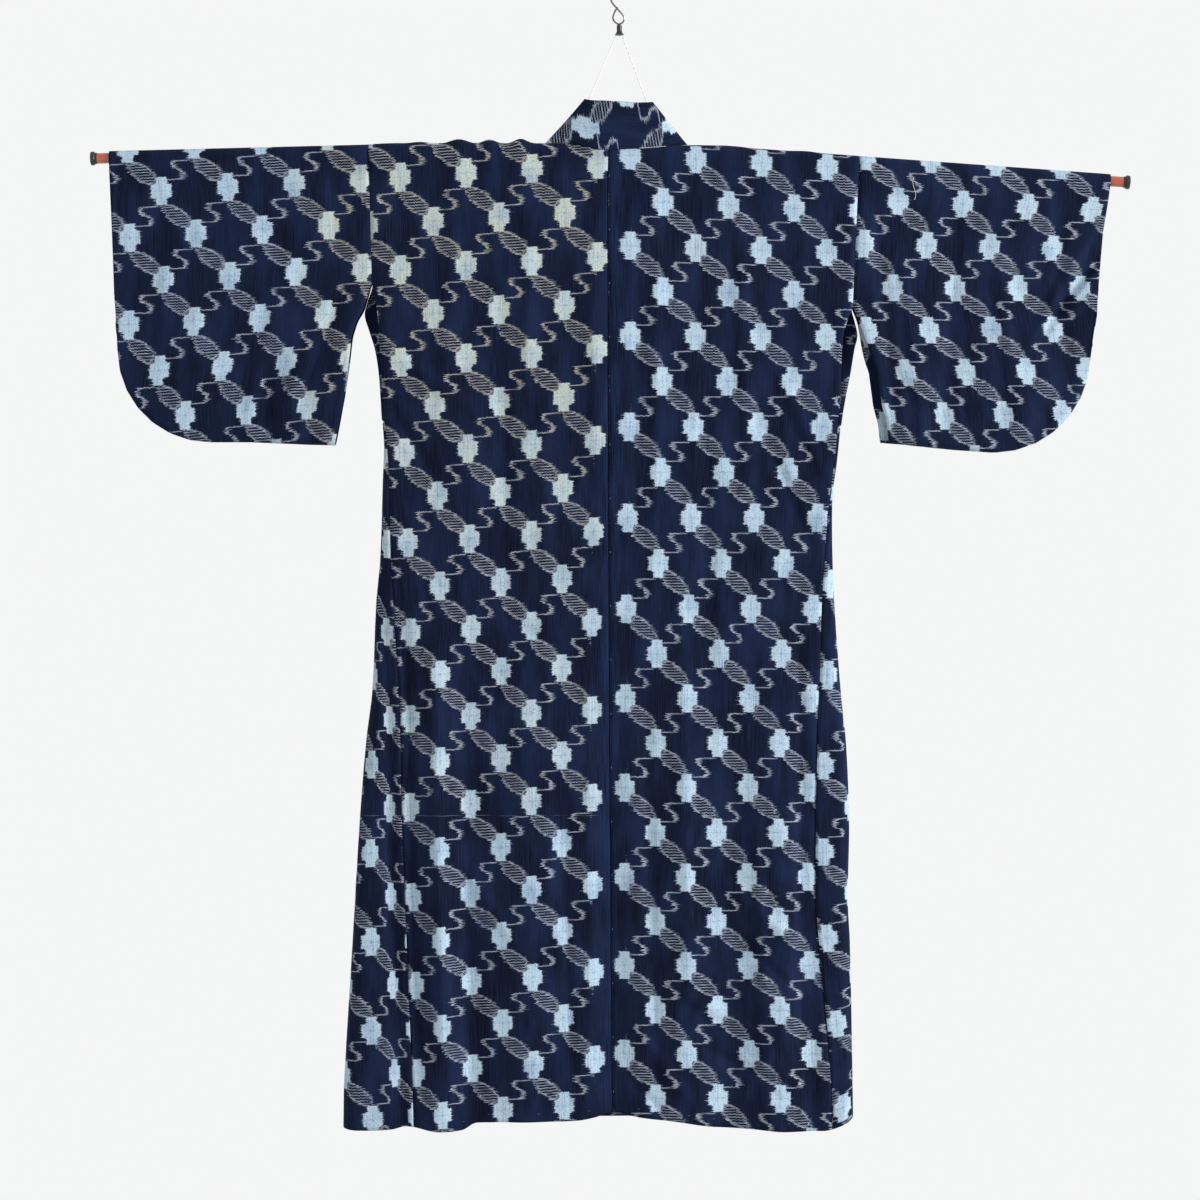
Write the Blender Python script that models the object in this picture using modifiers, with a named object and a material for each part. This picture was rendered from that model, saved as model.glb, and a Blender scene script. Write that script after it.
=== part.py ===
"""Kimono robe hanging on a telescopic rod, seen from its back.

The back of the robe faces -Y and the rod runs along X. The origin is the inner top of the wire
hook, where a nail carries everything. Sizes in the tables are millimetres: x from the hook's line,
and drop below the middle of the rod. "Left" is the wearer's left, at -X.

Each cloth piece is one sheet, lofted row by row from the garment's own lines and given its wall by
Solidify. A body panel is one uncut length, up the back, over the rod and down the front. It is two
nodes with a hair's breadth between them on top of the rod, so that the space between back and
front stays open for collision.
"""
import math

import bmesh
import bpy
from mathutils import Vector

MM = 0.001

# Driving sizes
ROD_DROP = 211.5
HEM_DROP = 1217.0
CLOTH_WALL = 1.5
COLLAR_WALL = 2.4
COLLAR_PROUD = 0.9
SEAM_GAP = 0.4
SEAT_GAP = 0.7
RIDGE_ANGLE = 90
RIDGE_GAP_ANGLE = 3
RIDGE_LEAD_ANGLE = 5
TUBE_RADIUS = 7.5
ARM_RADIUS = 6.6
EDGE_BEND = 14.0
EDGE_WRAP_SHARE = 0.7
SLIT_TURN = 30.0
TUCK_FROM = 12.0
TUCK_EASE = 24.0
SIDES = {"left": -1, "right": 1}

# How fast the rod's slope fades down the cloth, and how late the hem's own line comes in
SLOPE_FADE = 2
HEM_FADE = 6

# How soon a long fold reaches its full height on its way down
FOLD_GROWTH = 1.4

# The rod bows under the robe: x, rise above its middle
ROD_LINE = (
    (-661.3, -8.6),
    (-279.9, 1.0),
    (-74.6, 0.7),
    (130.6, -2.0),
    (637.7, -38.6),
)
TUBE_SPAN = (-279.9, 130.6)
ARM_ENDS = {"left": -652.7, "right": 628.5}
TUBE_EASE_START = 12.0
TUBE_EASE = 28.0

# How far the two layers stand out past the bend over the rod: drop, back, front
LAYER_DEPTH = (
    (0, 0.0, 0.0),
    (163, 2.4, 2.4),
    (500, 7.0, 5.0),
    (900, 13.0, 8.0),
    (1217, 18.0, 10.0),
)

# Long soft folds: x at the rod, x at the hem, drop where it begins, half width, height outwards
BACK_FOLDS = (
    (-236, -224, 350, 34, 7.0),
    (-192, -178, 450, 20, -5.0),
    (-120, -118, 300, 45, 5.0),
    (-14, -9, 500, 42, -7.0),
    (76, 84, 300, 40, 4.0),
    (140, 136, 500, 25, -4.0),
    (190, 200, 400, 38, 7.0),
    (236, 240, 600, 16, -4.0),
)
FRONT_FOLDS = (
    (-230, -280, 450, 34, 5.0),
    (-160, -190, 400, 30, -5.0),
    (-100, -120, 450, 40, 6.0),
    (70, 70, 400, 32, 6.0),
    (130, 150, 450, 34, -5.0),
    (200, 215, 500, 34, 6.0),
)

# Side of the body: drop, edge of the back panel, edge or outline of the front panel. The armhole
# comes first, then the open slit below the sleeve, then the side seam, outside which the front wraps
SIDE_EDGES = {
    "left": (
        (-8, -313.5, -313.5),
        (163, -309.1, -309.1),
        (187, -304.8, -316.0),
        (203, -302.3, -319.5),
        (224, -300.4, -313.5),
        (246, -299.2, -306.6),
        (275, -297.3, -301.5),
        (309, -295.4, -298.4),
        (337, -293.0, -296.5),
        (366, -289.9, -294.6),
        (411, -287.4, -296.1),
        (510, -284.9, -299.4),
        (560, -282.4, -304.2),
        (672, -275.5, -309.1),
        (734, -273.1, -316.6),
        (834, -271.2, -324.7),
        (990, -265.0, -333.9),
        (1161, -258.0, -344.0),
        (1217, -256.3, -345.0),
    ),
    "right": (
        (5, 298.6, 298.6),
        (195, 289.9, 289.9),
        (212, 283.6, 294.0),
        (229, 278.7, 297.4),
        (246, 276.8, 293.6),
        (275, 275.5, 288.6),
        (304, 274.3, 282.4),
        (337, 271.8, 276.4),
        (383, 267.5, 271.5),
        (435, 260.6, 265.6),
        (485, 256.3, 265.0),
        (560, 251.3, 267.5),
        (672, 248.1, 275.5),
        (734, 245.7, 281.9),
        (834, 243.6, 286.1),
        (938, 243.6, 284.5),
        (990, 247.6, 287.0),
        (1148, 261.9, 289.9),
        (1217, 263.8, 290.9),
    ),
}
SLEEVE_SEAM_END = {"left": 163, "right": 184}
SIDE_SEAM_TOP = 337

# Seam down the middle of the back: drop, x
BACK_SEAM = ((0, -14.3), (600, -12.6), (1217, -8.7))

# Lines of the fronts: drop, x. The foot is where the collar is sewn on, down to the collar's end;
# the overlap strip lies between its own seam and its free front edge
COLLAR_FOOT = {
    "left": ((0, -93.5), (203, -78.4), (607, -51.0)),
    "right": ((0, 85.8), (203, 66.0), (607, 20.0)),
}
COLLAR_FREE = {
    "left": ((-62, -41.0), (-16, -33.6), (607, 8.7)),
    "right": ((-54, 37.2), (-16, 28.0), (607, -39.0)),
}
OKUMI_SEAM = {
    "left": ((203, -78.4), (1217, -205.0)),
    "right": ((203, 66.0), (1217, 112.0)),
}
OKUMI_EDGE = {
    "left": ((607, 8.7), (1217, -65.0)),
    "right": ((607, -39.0), (1217, -28.0)),
}
OKUMI_TOP = 225
COLLAR_END = 600
COLLAR_END_TIP = 607

# Neck edge of the back, round the rod: angle of the bend in degrees, x on the left, x on the right
NECK_LINE = (
    (14, -14.2, -14.2),
    (30, -37.0, 32.0),
    (50, -56.0, 62.0),
    (70, -74.0, 76.0),
    (90, -90.0, 83.0),
    (120, -95.0, 85.6),
    (150, -94.5, 86.0),
)

# Where the collar folds to the front: its free corner, and the way out of the fold
COLLAR_CORNER = {"left": (-44.3, -63.4), "right": (41.1, -57.2)}
COLLAR_FOLD_OUT = {"left": (-0.71, 0.70), "right": (0.73, 0.68)}
COLLAR_TIP_BEND = 10.2
COLLAR_TOP = {"x": -12.4, "drop": -61.6, "y": -9.0}
COLLAR_TURN = 110.0
COLLAR_HEIGHT = 60.0
NECK_SIDE_ANGLES = (50, 100)
COLLAR_FOLDED_ANGLE = 70

# Hem of the back: x, drop. The fronts behind it hang a little shorter
BACK_HEM = (
    (-345, 1216), (-326, 1218), (-287, 1217), (-262, 1213), (-226, 1219), (-195, 1217),
    (-179, 1209), (-112, 1207), (-58, 1206), (-32, 1202), (-9, 1196), (25, 1202),
    (72, 1207), (114, 1213), (162, 1216), (200, 1219), (234, 1219), (257, 1218),
    (276, 1212), (291, 1203),
)
FRONT_HEM = 1207.0

# Left front lies over right front: how far each is lifted where they cross
LAP = {"left": 5.0, "right": -3.0}
LAP_WIDTH = 60.0
LAP_DROPS = (230.0, 350.0, 1000.0, 1150.0)

# Levels at which every cloth piece has a row: above the sleeve seam's end, and below it
UPPER_LEVELS = (0, 25, 65, 110)
BELOW_SLEEVE = 34
LOWER_LEVELS = (250, 290, 337, 385, 440, 510, 600, 690, 780, 880, 980, 1070, 1150, 1217)
PANEL_COLUMNS = 14
OKUMI_COLUMNS = 5
COLLAR_COLUMNS = 4
EASE_STEPS = 6
BEND_STEPS = 12
SECTION_STEPS = 24

# Sleeves: corners and lines as x, drop. The outer edge is open as the wrist from the rod to its
# kink; from there the outline is closed, round the corner and along the bottom to the inner edge
SLEEVES = {
    "left": {
        "inner": ((-309.1, 163), (-319.6, 198), (-328.0, 212), (-334.0, 231), (-338.4, 269),
                  (-344.0, 306), (-350.8, 343), (-355.5, 367)),
        "bottom": ((-394, 366), (-460, 363), (-512, 363)),
        "corner": {"centre": (-512, 249), "radius": (115, 114)},
        "outer": ((-627.0, 224),),
        "wrist": ((-627.0, 189), (-630.7, 178), (-632.0, 138), (-635.2, 57)),
        "front_edge_shift": 0.0,
    },
    "right": {
        "inner": ((289.9, 195), (297.5, 212), (307.3, 240), (320.5, 275), (326.0, 317),
                  (332.4, 341), (334.6, 364)),
        "bottom": ((358, 366), (424, 373), (467, 376)),
        "corner": {"centre": (467, 256), "radius": (120, 120)},
        "outer": ((588.5, 235),),
        "wrist": ((589.7, 214), (594.6, 200), (595.6, 178), (602.1, 101), (608.3, 63)),
        "front_edge_shift": -9.0,
    },
}
SLEEVE_TOP_X = {"left": (-313.5, -637.3), "right": (298.6, 612.0)}
SLEEVE_RINGS = 12
SLEEVE_ROWS = (5, 6)
SLEEVE_EDGE_BEND = 7.0
SLEEVE_EDGE_SHARE = 0.7
SLEEVE_SLACK = -1.5
SLEEVE_SLACK_DROP = 200.0
SLEEVE_BLEND = 0.33
SLEEVE_HEM_DROP = 370.0
CORNER_STEPS = 7
FRONT_SHIFT_START = 16.0
FRONT_SHIFT_EASE = 70.0
SWAY_AT_ARMHOLE = 0.6
SWAY_GROWTH = 4.0

# Short folds that both layers of a sleeve share: columns as for the long folds
SLEEVE_FOLDS = (
    (-400, -405, 190, 24, 4.0),
    (-432, -440, 230, 18, -2.5),
    (-364, -372, 230, 13, 3.0),
    (348, 354, 220, 15, 3.0),
    (388, 398, 240, 22, -2.5),
    (520, 500, 220, 26, 2.0),
)

# Wire hook, from its tip round the nail, down through the eye and back up: x, drop from the hook, y
HOOK_WIRE_RADIUS = 1.1
HOOK_BEND_RADIUS = 13.5
HOOK_ARC = (-20, 215)
HOOK_STEPS = 12
EYE_WIRE = (
    (-10.4, 24.9, -0.6),
    (-4.1, 32.5, -1.5),
    (2.9, 40.2, -0.8),
    (5.3, 44.3, 0.0),
    (5.0, 47.3, 0.0),
    (3.2, 50.3, 0.0),
    (-0.6, 52.2, 0.0),
    (-4.4, 51.2, 0.0),
    (-8.1, 47.3, 0.2),
    (-8.7, 43.3, 0.7),
    (-7.1, 37.9, 1.3),
    (-4.6, 33.0, 1.6),
    (-3.4, 30.4, 1.5),
)
CRIMP_TOP = 53.7
CRIMP_CENTRE = -0.7
CRIMP_PROFILE = ((0.0, 0.0), (3.0, 0.0), (3.35, 0.5), (3.35, 7.6), (4.1, 9.6), (5.9, 12.0),
                 (4.6, 12.4), (0.0, 12.4))
STRING_RADIUS = 0.8
STRING_TOPS = {"left": -4.4, "right": 3.0}
STRING_FEET = {"left": -63.0, "right": 53.5}

# End cap of an arm, turned: radius, distance from the arm's end
CAP_PROFILE = ((0.0, 8.4), (5.6, 8.4), (6.3, 7.6), (7.9, 7.9), (8.6, 7.2), (8.6, 3.6), (7.8, 2.8),
               (7.1, 2.6), (7.1, 0.4), (0.0, 0.4))

ROD_STEPS = 12
STRING_STEPS = 6
TURNING_STEPS = 24
TUBE_SIDES = 4
WIRE_SIDES = 2

# Finish of each kind of piece: sRGB colour, roughness, metallic
FINISHES = {
    "body": ("1b2547", 0.85, 0.0),
    "okumi": ("1a2344", 0.85, 0.0),
    "sleeve": ("1c264a", 0.85, 0.0),
    "collar": ("182142", 0.85, 0.0),
    "rod": ("9a4630", 0.3, 0.0),
    "cap": ("17140f", 0.35, 0.0),
    "hook": ("6f6b68", 0.3, 1.0),
    "crimp": ("1d1a20", 0.4, 0.0),
    "string": ("ece9e0", 0.8, 0.0),
}


def clear_scene():
    for thing in list(bpy.data.objects):
        bpy.data.objects.remove(thing, do_unlink=True)


def ease(value):
    """Zero to one with soft ends."""
    value = min(max(value, 0.0), 1.0)
    return value * value * (3 - 2 * value)


def between(low, high, share):
    return low + (high - low) * share


def straight(table, at, column=1):
    """A column of a table at a place in its first column, on straight lines."""
    for low, high in zip(table, table[1:]):
        if at <= high[0]:
            share = min(max((at - low[0]) / (high[0] - low[0]), 0.0), 1.0)
            return between(low[column], high[column], share)
    return table[-1][column]


def smooth(table, at, column=1):
    """The same on a smooth line through the rows."""
    at = min(max(at, table[0][0]), table[-1][0])
    index = max(i for i in range(len(table) - 1) if table[i][0] <= at)
    before = table[max(index - 1, 0)]
    low = table[index]
    high = table[index + 1]
    after = table[min(index + 2, len(table) - 1)]
    span = high[0] - low[0]
    share = (at - low[0]) / span
    low_slope = (high[column] - before[column]) / (high[0] - before[0]) * span
    high_slope = (after[column] - low[column]) / (after[0] - low[0]) * span
    return (low[column] * (2 * share ** 3 - 3 * share ** 2 + 1)
            + low_slope * (share ** 3 - 2 * share ** 2 + share)
            + high[column] * (3 * share ** 2 - 2 * share ** 3)
            + high_slope * (share ** 3 - share ** 2))


def along(points, share):
    """The point at a share of a plan line's length."""
    lengths = [math.dist(a, b) for a, b in zip(points, points[1:])]
    target = share * sum(lengths)
    for start, end, length in zip(points, points[1:], lengths):
        if target <= length:
            part = target / length
            return tuple(between(a, b, part) for a, b in zip(start, end))
        target -= length
    return points[-1]


def levels(side):
    end = SLEEVE_SEAM_END[side]
    return UPPER_LEVELS + (end, end + BELOW_SLEEVE) + LOWER_LEVELS


def place(x, y, drop):
    """Millimetres from the hook's line and below the rod, to metres from the hook."""
    return Vector((x, y, -ROD_DROP - drop)) * MM


# The rod under the cloth, and how far the cloth stands out from it


def rod_rise(x):
    return straight(ROD_LINE, x)


def bend_radius(x):
    """Outer radius of the cloth where it passes over the rod."""
    past_tube = max(TUBE_SPAN[0] - x, x - TUBE_SPAN[1]) - TUBE_EASE_START
    rod_radius = between(TUBE_RADIUS, ARM_RADIUS, ease(past_tube / TUBE_EASE))
    return rod_radius + SEAT_GAP + CLOTH_WALL


def fold_height(folds, x, drop, hem_drop=HEM_DROP):
    """Sum of the folds at a place: each grows from where it begins down to the hem."""
    height = 0.0
    for top_x, hem_x, begin, half_width, tall in folds:
        centre = between(top_x, hem_x, drop / hem_drop)
        off = abs(x - centre) / half_width
        if off < 1 and drop > begin:
            grown = ease((drop - begin) / (hem_drop - begin) * FOLD_GROWTH)
            height += tall * grown * math.cos(off * math.pi / 2) ** 2
    return height


def back_y(x, drop):
    depth = smooth(LAYER_DEPTH, drop, 1) + fold_height(BACK_FOLDS, x, drop)
    return -bend_radius(x) - depth


def lap_lift(side, x, drop):
    """Lift of a front where left lies over right, near the middle of the robe."""
    outward = SIDES[side] * x
    rise_from, rise_to, fall_from, fall_to = LAP_DROPS
    grown = ease((drop - rise_from) / (rise_to - rise_from))
    grown *= 1 - ease((drop - fall_from) / (fall_to - fall_from))
    return LAP[side] * grown * ease((LAP_WIDTH - outward) / LAP_WIDTH)


def front_y(side, x, drop):
    depth = smooth(LAYER_DEPTH, drop, 2) + fold_height(FRONT_FOLDS, x, drop)
    return bend_radius(x) + depth + lap_lift(side, x, drop)


def settled(x, drop, hem):
    """Real drop of a level: it follows the rod's slope at the top and the hem's line at the end."""
    share = drop / HEM_DROP
    return drop - rod_rise(x) * (1 - share) ** SLOPE_FADE + (hem - HEM_DROP) * share ** HEM_FADE


# Body panels


def side_edge(side, drop, column):
    """Edge of the back panel (1) or of the front panel (2) at a level."""
    table = SIDE_EDGES[side]
    at = settled(table[0][1], drop, HEM_DROP)
    read = straight if drop <= SLEEVE_SEAM_END[side] else smooth
    return read(table, at, column)


def back_row(side, drop):
    """Back panel at a level, from the side edge to the seam down the middle."""
    out = SIDES[side]
    edge = side_edge(side, drop, 1) - out * SEAM_GAP / 2
    middle = smooth(BACK_SEAM, drop) + out * SEAM_GAP / 2
    row = []
    for column in range(PANEL_COLUMNS + 1):
        x = between(edge, middle, column / PANEL_COLUMNS)
        row.append(place(x, back_y(x, drop), settled(x, drop, smooth(BACK_HEM, x))))
    return row


def front_inner_edge(side, drop):
    """Where the front panel ends: at the collar's foot, then at the overlap strip's seam."""
    first = OKUMI_SEAM[side][0][0]
    table = COLLAR_FOOT[side] if drop < first else OKUMI_SEAM[side]
    return smooth(table, drop)


def front_section(side, drop):
    """Line of the front panel at a level, as x, y points from its side edge inwards.

    Below the side seam it starts on the back, wraps round the outline and runs back in front. Where
    the wrap is narrow it starts a wall deeper, clear of the back panel's edge.
    """
    out = SIDES[side]
    seam = side_edge(side, drop, 1) + out * SEAM_GAP / 2
    outline = side_edge(side, drop, 2)
    narrow = 1 - ease((abs(outline - seam) - TUCK_FROM) / TUCK_EASE)
    back = back_y(seam, drop) + (CLOTH_WALL + SEAM_GAP) * narrow
    front = front_y(side, outline, drop)
    points = []
    if drop < SIDE_SEAM_TOP:
        sleeve_end = SLEEVE_SEAM_END[side]
        if drop <= sleeve_end:
            outline -= out * SEAM_GAP / 2
        closing = ease((drop - sleeve_end) / (SIDE_SEAM_TOP - sleeve_end)) ** 2
        edge = between(front, back, closing)
        for step in range(EASE_STEPS + 1):
            x = outline - out * SLIT_TURN * step / EASE_STEPS
            points.append((x, between(edge, front, ease(step / EASE_STEPS))))
        start = points[-1][0]
    else:
        bend = min(EDGE_WRAP_SHARE * abs(outline - seam), EDGE_BEND)
        start = outline - out * bend
        for step in range(EASE_STEPS):
            points.append((between(seam, start, step / EASE_STEPS), back))
        for step in range(BEND_STEPS + 1):
            angle = math.pi * (step / BEND_STEPS - 0.5)
            middle = (front + back) / 2
            points.append((start + out * bend * math.cos(angle),
                           middle + (front - back) / 2 * math.sin(angle)))
    end = front_inner_edge(side, drop) + out * SEAM_GAP / 2
    for step in range(1, SECTION_STEPS + 1):
        x = between(start, end, step / SECTION_STEPS)
        points.append((x, front_y(side, x, drop)))
    return points


def front_row(side, drop):
    """Front panel at a level: warp threads at equal steps of cloth from the side edge."""
    line = front_section(side, drop)
    row = []
    for column in range(PANEL_COLUMNS + 1):
        x, y = along(line, column / PANEL_COLUMNS)
        towards_front = ease((y + EDGE_BEND) / (2 * EDGE_BEND))
        hem = between(smooth(BACK_HEM, x), FRONT_HEM, towards_front)
        row.append(place(x, y, settled(x, drop, hem)))
    return row


def shoulder_row(side, angle, neck_x):
    """Row over the rod: the angle is 0 at the back, 90 on top and 180 in front."""
    out = SIDES[side]
    edge = side_edge(side, 0, 1) - out * SEAM_GAP / 2
    inner = neck_x + out * SEAM_GAP / 2
    turn = math.radians(angle)
    row = []
    for column in range(PANEL_COLUMNS + 1):
        x = between(edge, inner, column / PANEL_COLUMNS)
        radius = bend_radius(x)
        row.append(place(x, -radius * math.cos(turn), -rod_rise(x) - radius * math.sin(turn)))
    return row


def body_rows(side):
    """From the back hem up to the ridge over the rod, and from there down to the front hem."""
    neck_column = 1 if side == "left" else 2
    front_start = RIDGE_ANGLE + RIDGE_GAP_ANGLE
    angles = [line[0] for line in NECK_LINE]
    behind = [angle for angle in angles if angle < RIDGE_ANGLE]
    behind += [RIDGE_ANGLE - RIDGE_LEAD_ANGLE, RIDGE_ANGLE]
    before = [front_start, front_start + RIDGE_LEAD_ANGLE]
    before += [angle for angle in angles if angle > RIDGE_ANGLE]
    over_rod = [[shoulder_row(side, angle, straight(NECK_LINE, angle, neck_column))
                 for angle in half] for half in (behind, before)]
    back = [back_row(side, drop) for drop in reversed(levels(side))] + over_rod[0]
    front = over_rod[1] + [front_row(side, drop) for drop in levels(side)]
    return back, front


# Overlap strips


def okumi_rows(side):
    out = SIDES[side]
    rows = []
    drops = [OKUMI_TOP] + [drop for drop in levels(side) if drop > OKUMI_TOP]
    drops.insert(drops.index(COLLAR_END) + 1, COLLAR_END_TIP)
    for drop in drops:
        seam = smooth(OKUMI_SEAM[side], drop) - out * SEAM_GAP / 2
        if drop <= COLLAR_END:
            edge = smooth(COLLAR_FOOT[side], drop) + out * SEAM_GAP / 2
        else:
            edge = smooth(OKUMI_EDGE[side], drop)
        row = []
        for column in range(OKUMI_COLUMNS + 1):
            share = column / OKUMI_COLUMNS
            x = between(seam, edge, share)
            real_drop = drop + SEAM_GAP * share if drop == COLLAR_END_TIP else drop
            row.append(place(x, front_y(side, x, drop), settled(x, real_drop, FRONT_HEM)))
        rows.append(row)
    return rows


# Collar: stations from the left end, up, over the shoulder, round the neck and down the right


def collar_front_station(side, drop):
    """Foot and free edge on the front; the free edge catches up with the foot below the fold."""
    out = SIDES[side]
    foot_x = smooth(COLLAR_FOOT[side], drop) - out * SEAM_GAP / 2
    behind = COLLAR_HEIGHT * (1 - ease(drop / COLLAR_TURN))
    free_drop = drop - behind
    tip_share = ease((drop - COLLAR_TURN) / (COLLAR_END - COLLAR_TURN)) if drop > COLLAR_TURN else 0
    free_drop += (COLLAR_END_TIP - COLLAR_END) * tip_share
    free_x = smooth(COLLAR_FREE[side], free_drop)
    tucked = behind / COLLAR_HEIGHT
    foot = place(foot_x, front_y(side, foot_x, drop) + COLLAR_PROUD,
                 settled(foot_x, drop, FRONT_HEM))
    flat_y = front_y(side, free_x, max(free_drop, 0)) + COLLAR_PROUD
    free = place(free_x, between(flat_y, COLLAR_TIP_BEND, tucked), free_drop)
    return foot, free


def collar_neck_station(side, angle, neck_x):
    """Foot on the neck edge over the rod, free edge standing up behind the neck."""
    out = SIDES[side]
    turn = math.radians(angle)
    radius = bend_radius(neck_x) + COLLAR_PROUD
    side_from, side_to = NECK_SIDE_ANGLES
    sideways = ease((angle - side_from) / (side_to - side_from))
    inward = SEAM_GAP * sideways
    upward = SEAM_GAP * (1 - sideways) / radius
    foot = place(neck_x - out * inward / 2,
                 -radius * math.cos(turn + upward),
                 -rod_rise(neck_x) - radius * math.sin(turn + upward))
    corner_x, corner_drop = COLLAR_CORNER[side]
    out_x, out_up = COLLAR_FOLD_OUT[side]
    lift = COLLAR_TIP_BEND * (math.sin(turn) - 1)
    folded = place(corner_x + out_x * lift, -COLLAR_TIP_BEND * math.cos(turn),
                   corner_drop - out_up * lift)
    standing = place(COLLAR_TOP["x"], COLLAR_TOP["y"], COLLAR_TOP["drop"])
    first = NECK_LINE[0][0]
    reach = ease(math.sqrt(min((angle - first) / (COLLAR_FOLDED_ANGLE - first), 1.0)))
    free = standing.lerp(folded, reach)
    return foot, free


def collar_stations():
    fronts = {}
    for side, column in (("left", 1), ("right", 2)):
        drops = [drop for drop in levels(side) if drop <= COLLAR_END]
        stations = [collar_front_station(side, drop) for drop in reversed(drops)]
        stations += [collar_neck_station(side, line[0], line[column])
                     for line in reversed(NECK_LINE)]
        fronts[side] = stations
    return fronts["left"] + fronts["right"][::-1][1:]


def collar_rows():
    rows = []
    for foot, free in collar_stations():
        rows.append([foot.lerp(free, column / COLLAR_COLUMNS)
                     for column in range(COLLAR_COLUMNS + 1)])
    return rows


# Sleeves: one folded rectangle each, as rings from the armhole to the wrist


def sleeve_lines(side):
    """The four plan lines of a sleeve, as x, drop: inner edge, wrist, top and closed outline."""
    sleeve = SLEEVES[side]
    out = SIDES[side]
    inner_x, outer_x = SLEEVE_TOP_X[side]
    top_inner = (inner_x + out * SEAM_GAP / 2, -rod_rise(inner_x))
    top_outer = (outer_x, -rod_rise(outer_x))
    inner = [top_inner] + [(x + out * SEAM_GAP / 2, drop) for x, drop in sleeve["inner"]]
    wrist = [top_outer] + list(reversed(sleeve["wrist"]))
    centre_x, centre_drop = sleeve["corner"]["centre"]
    radius_x, radius_drop = sleeve["corner"]["radius"]
    corner = []
    for step in range(1, CORNER_STEPS + 1):
        angle = math.pi / 2 * step / CORNER_STEPS
        corner.append((centre_x + out * radius_x * math.sin(angle),
                       centre_drop + radius_drop * math.cos(angle)))
    outline = [inner[-1]] + list(sleeve["bottom"]) + corner + list(sleeve["outer"]) + [wrist[-1]]
    return inner, wrist, [top_inner, top_outer], outline


def patch(lines, across, down):
    """Plan point inside the four lines of a sleeve."""
    inner, wrist, top, outline = lines
    ends = (along(top, across), along(outline, across), along(inner, down), along(wrist, down))
    corners = (inner[0], wrist[0], inner[-1], wrist[-1])
    point = []
    for axis in range(2):
        ruled = between(ends[0][axis], ends[1][axis], down)
        ruled += between(ends[2][axis], ends[3][axis], across)
        upper = between(corners[0][axis], corners[1][axis], across)
        lower = between(corners[2][axis], corners[3][axis], across)
        point.append(ruled - between(upper, lower, down))
    return point


def seam_end_share(inner):
    """Where the body's seam ends, as a share of the sleeve's inner edge."""
    lengths = [math.dist(a, b) for a, b in zip(inner, inner[1:])]
    return lengths[0] / sum(lengths)


def sleeve_depth(side, x, drop, across):
    """Half the distance between a sleeve's outer faces."""
    level = drop + rod_rise(x)
    near_body = smooth(LAYER_DEPTH, min(max(level, 0), SLEEVE_SEAM_END["left"]), 1)
    loose = SLEEVE_SLACK * ease(level / SLEEVE_SLACK_DROP)
    return bend_radius(x) + between(near_body, loose, ease(across / SLEEVE_BLEND))


def sleeve_ring(side, lines, across):
    """Closed ring: down the back, round the outline, up the front and over the rod."""
    sleeve = SLEEVES[side]
    top = patch(lines, across, 0)
    length = math.dist(top, patch(lines, across, 1))
    bend = SLEEVE_EDGE_BEND / length
    upper, lower = SLEEVE_ROWS
    seam_share = seam_end_share(lines[0])
    shares = [seam_share * row / upper for row in range(upper)]
    shares += [between(seam_share, 1 - bend, row / lower) for row in range(lower + 1)]
    rounded = (1 - bend * (1 - SLEEVE_EDGE_SHARE), math.sqrt(1 - SLEEVE_EDGE_SHARE ** 2))
    layer = [(share, 1.0) for share in shares] + [rounded]
    ring = []
    for face, steps in ((-1, layer), (0, [(1.0, 0.0)]), (1, layer[::-1])):
        for share, fullness in steps:
            x, drop = patch(lines, across, share)
            if face > 0:
                below = drop - SLEEVE_SEAM_END[side] - FRONT_SHIFT_START
                x += (sleeve["front_edge_shift"] * (1 - across) ** 2
                      * ease(below / FRONT_SHIFT_EASE))
            sway = fold_height(SLEEVE_FOLDS, x, drop, SLEEVE_HEM_DROP)
            sway *= ease(SWAY_GROWTH * across + SWAY_AT_ARMHOLE)
            y = face * sleeve_depth(side, x, drop, across) * fullness - sway
            ring.append(place(x, y, drop))
    x, drop = top
    radius = bend_radius(x)
    for angle in (135, 90, 45):
        turn = math.radians(angle)
        ring.append(place(x, -radius * math.cos(turn), drop - radius * math.sin(turn)))
    return ring


def sleeve_rings(side):
    lines = sleeve_lines(side)
    return [sleeve_ring(side, lines, step / SLEEVE_RINGS) for step in range(SLEEVE_RINGS + 1)]


# Objects


def finish(name, kind):
    """A plain material of its own for one piece."""
    colour, roughness, metallic = FINISHES[kind]
    material = bpy.data.materials.new(name)
    material.use_nodes = True
    shader = material.node_tree.nodes["Principled BSDF"]
    channels = [int(colour[i:i + 2], 16) / 255 for i in (0, 2, 4)]
    linear = [c / 12.92 if c <= 0.04045 else ((c + 0.055) / 1.055) ** 2.4 for c in channels]
    shader.inputs["Base Color"].default_value = (*linear, 1)
    shader.inputs["Roughness"].default_value = roughness
    shader.inputs["Metallic"].default_value = metallic
    return material


def add_object(name, data, kind, parts):
    piece = bpy.data.objects.new(name, data)
    data.materials.append(finish(name, kind))
    parts.objects.link(piece)
    return piece


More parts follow.
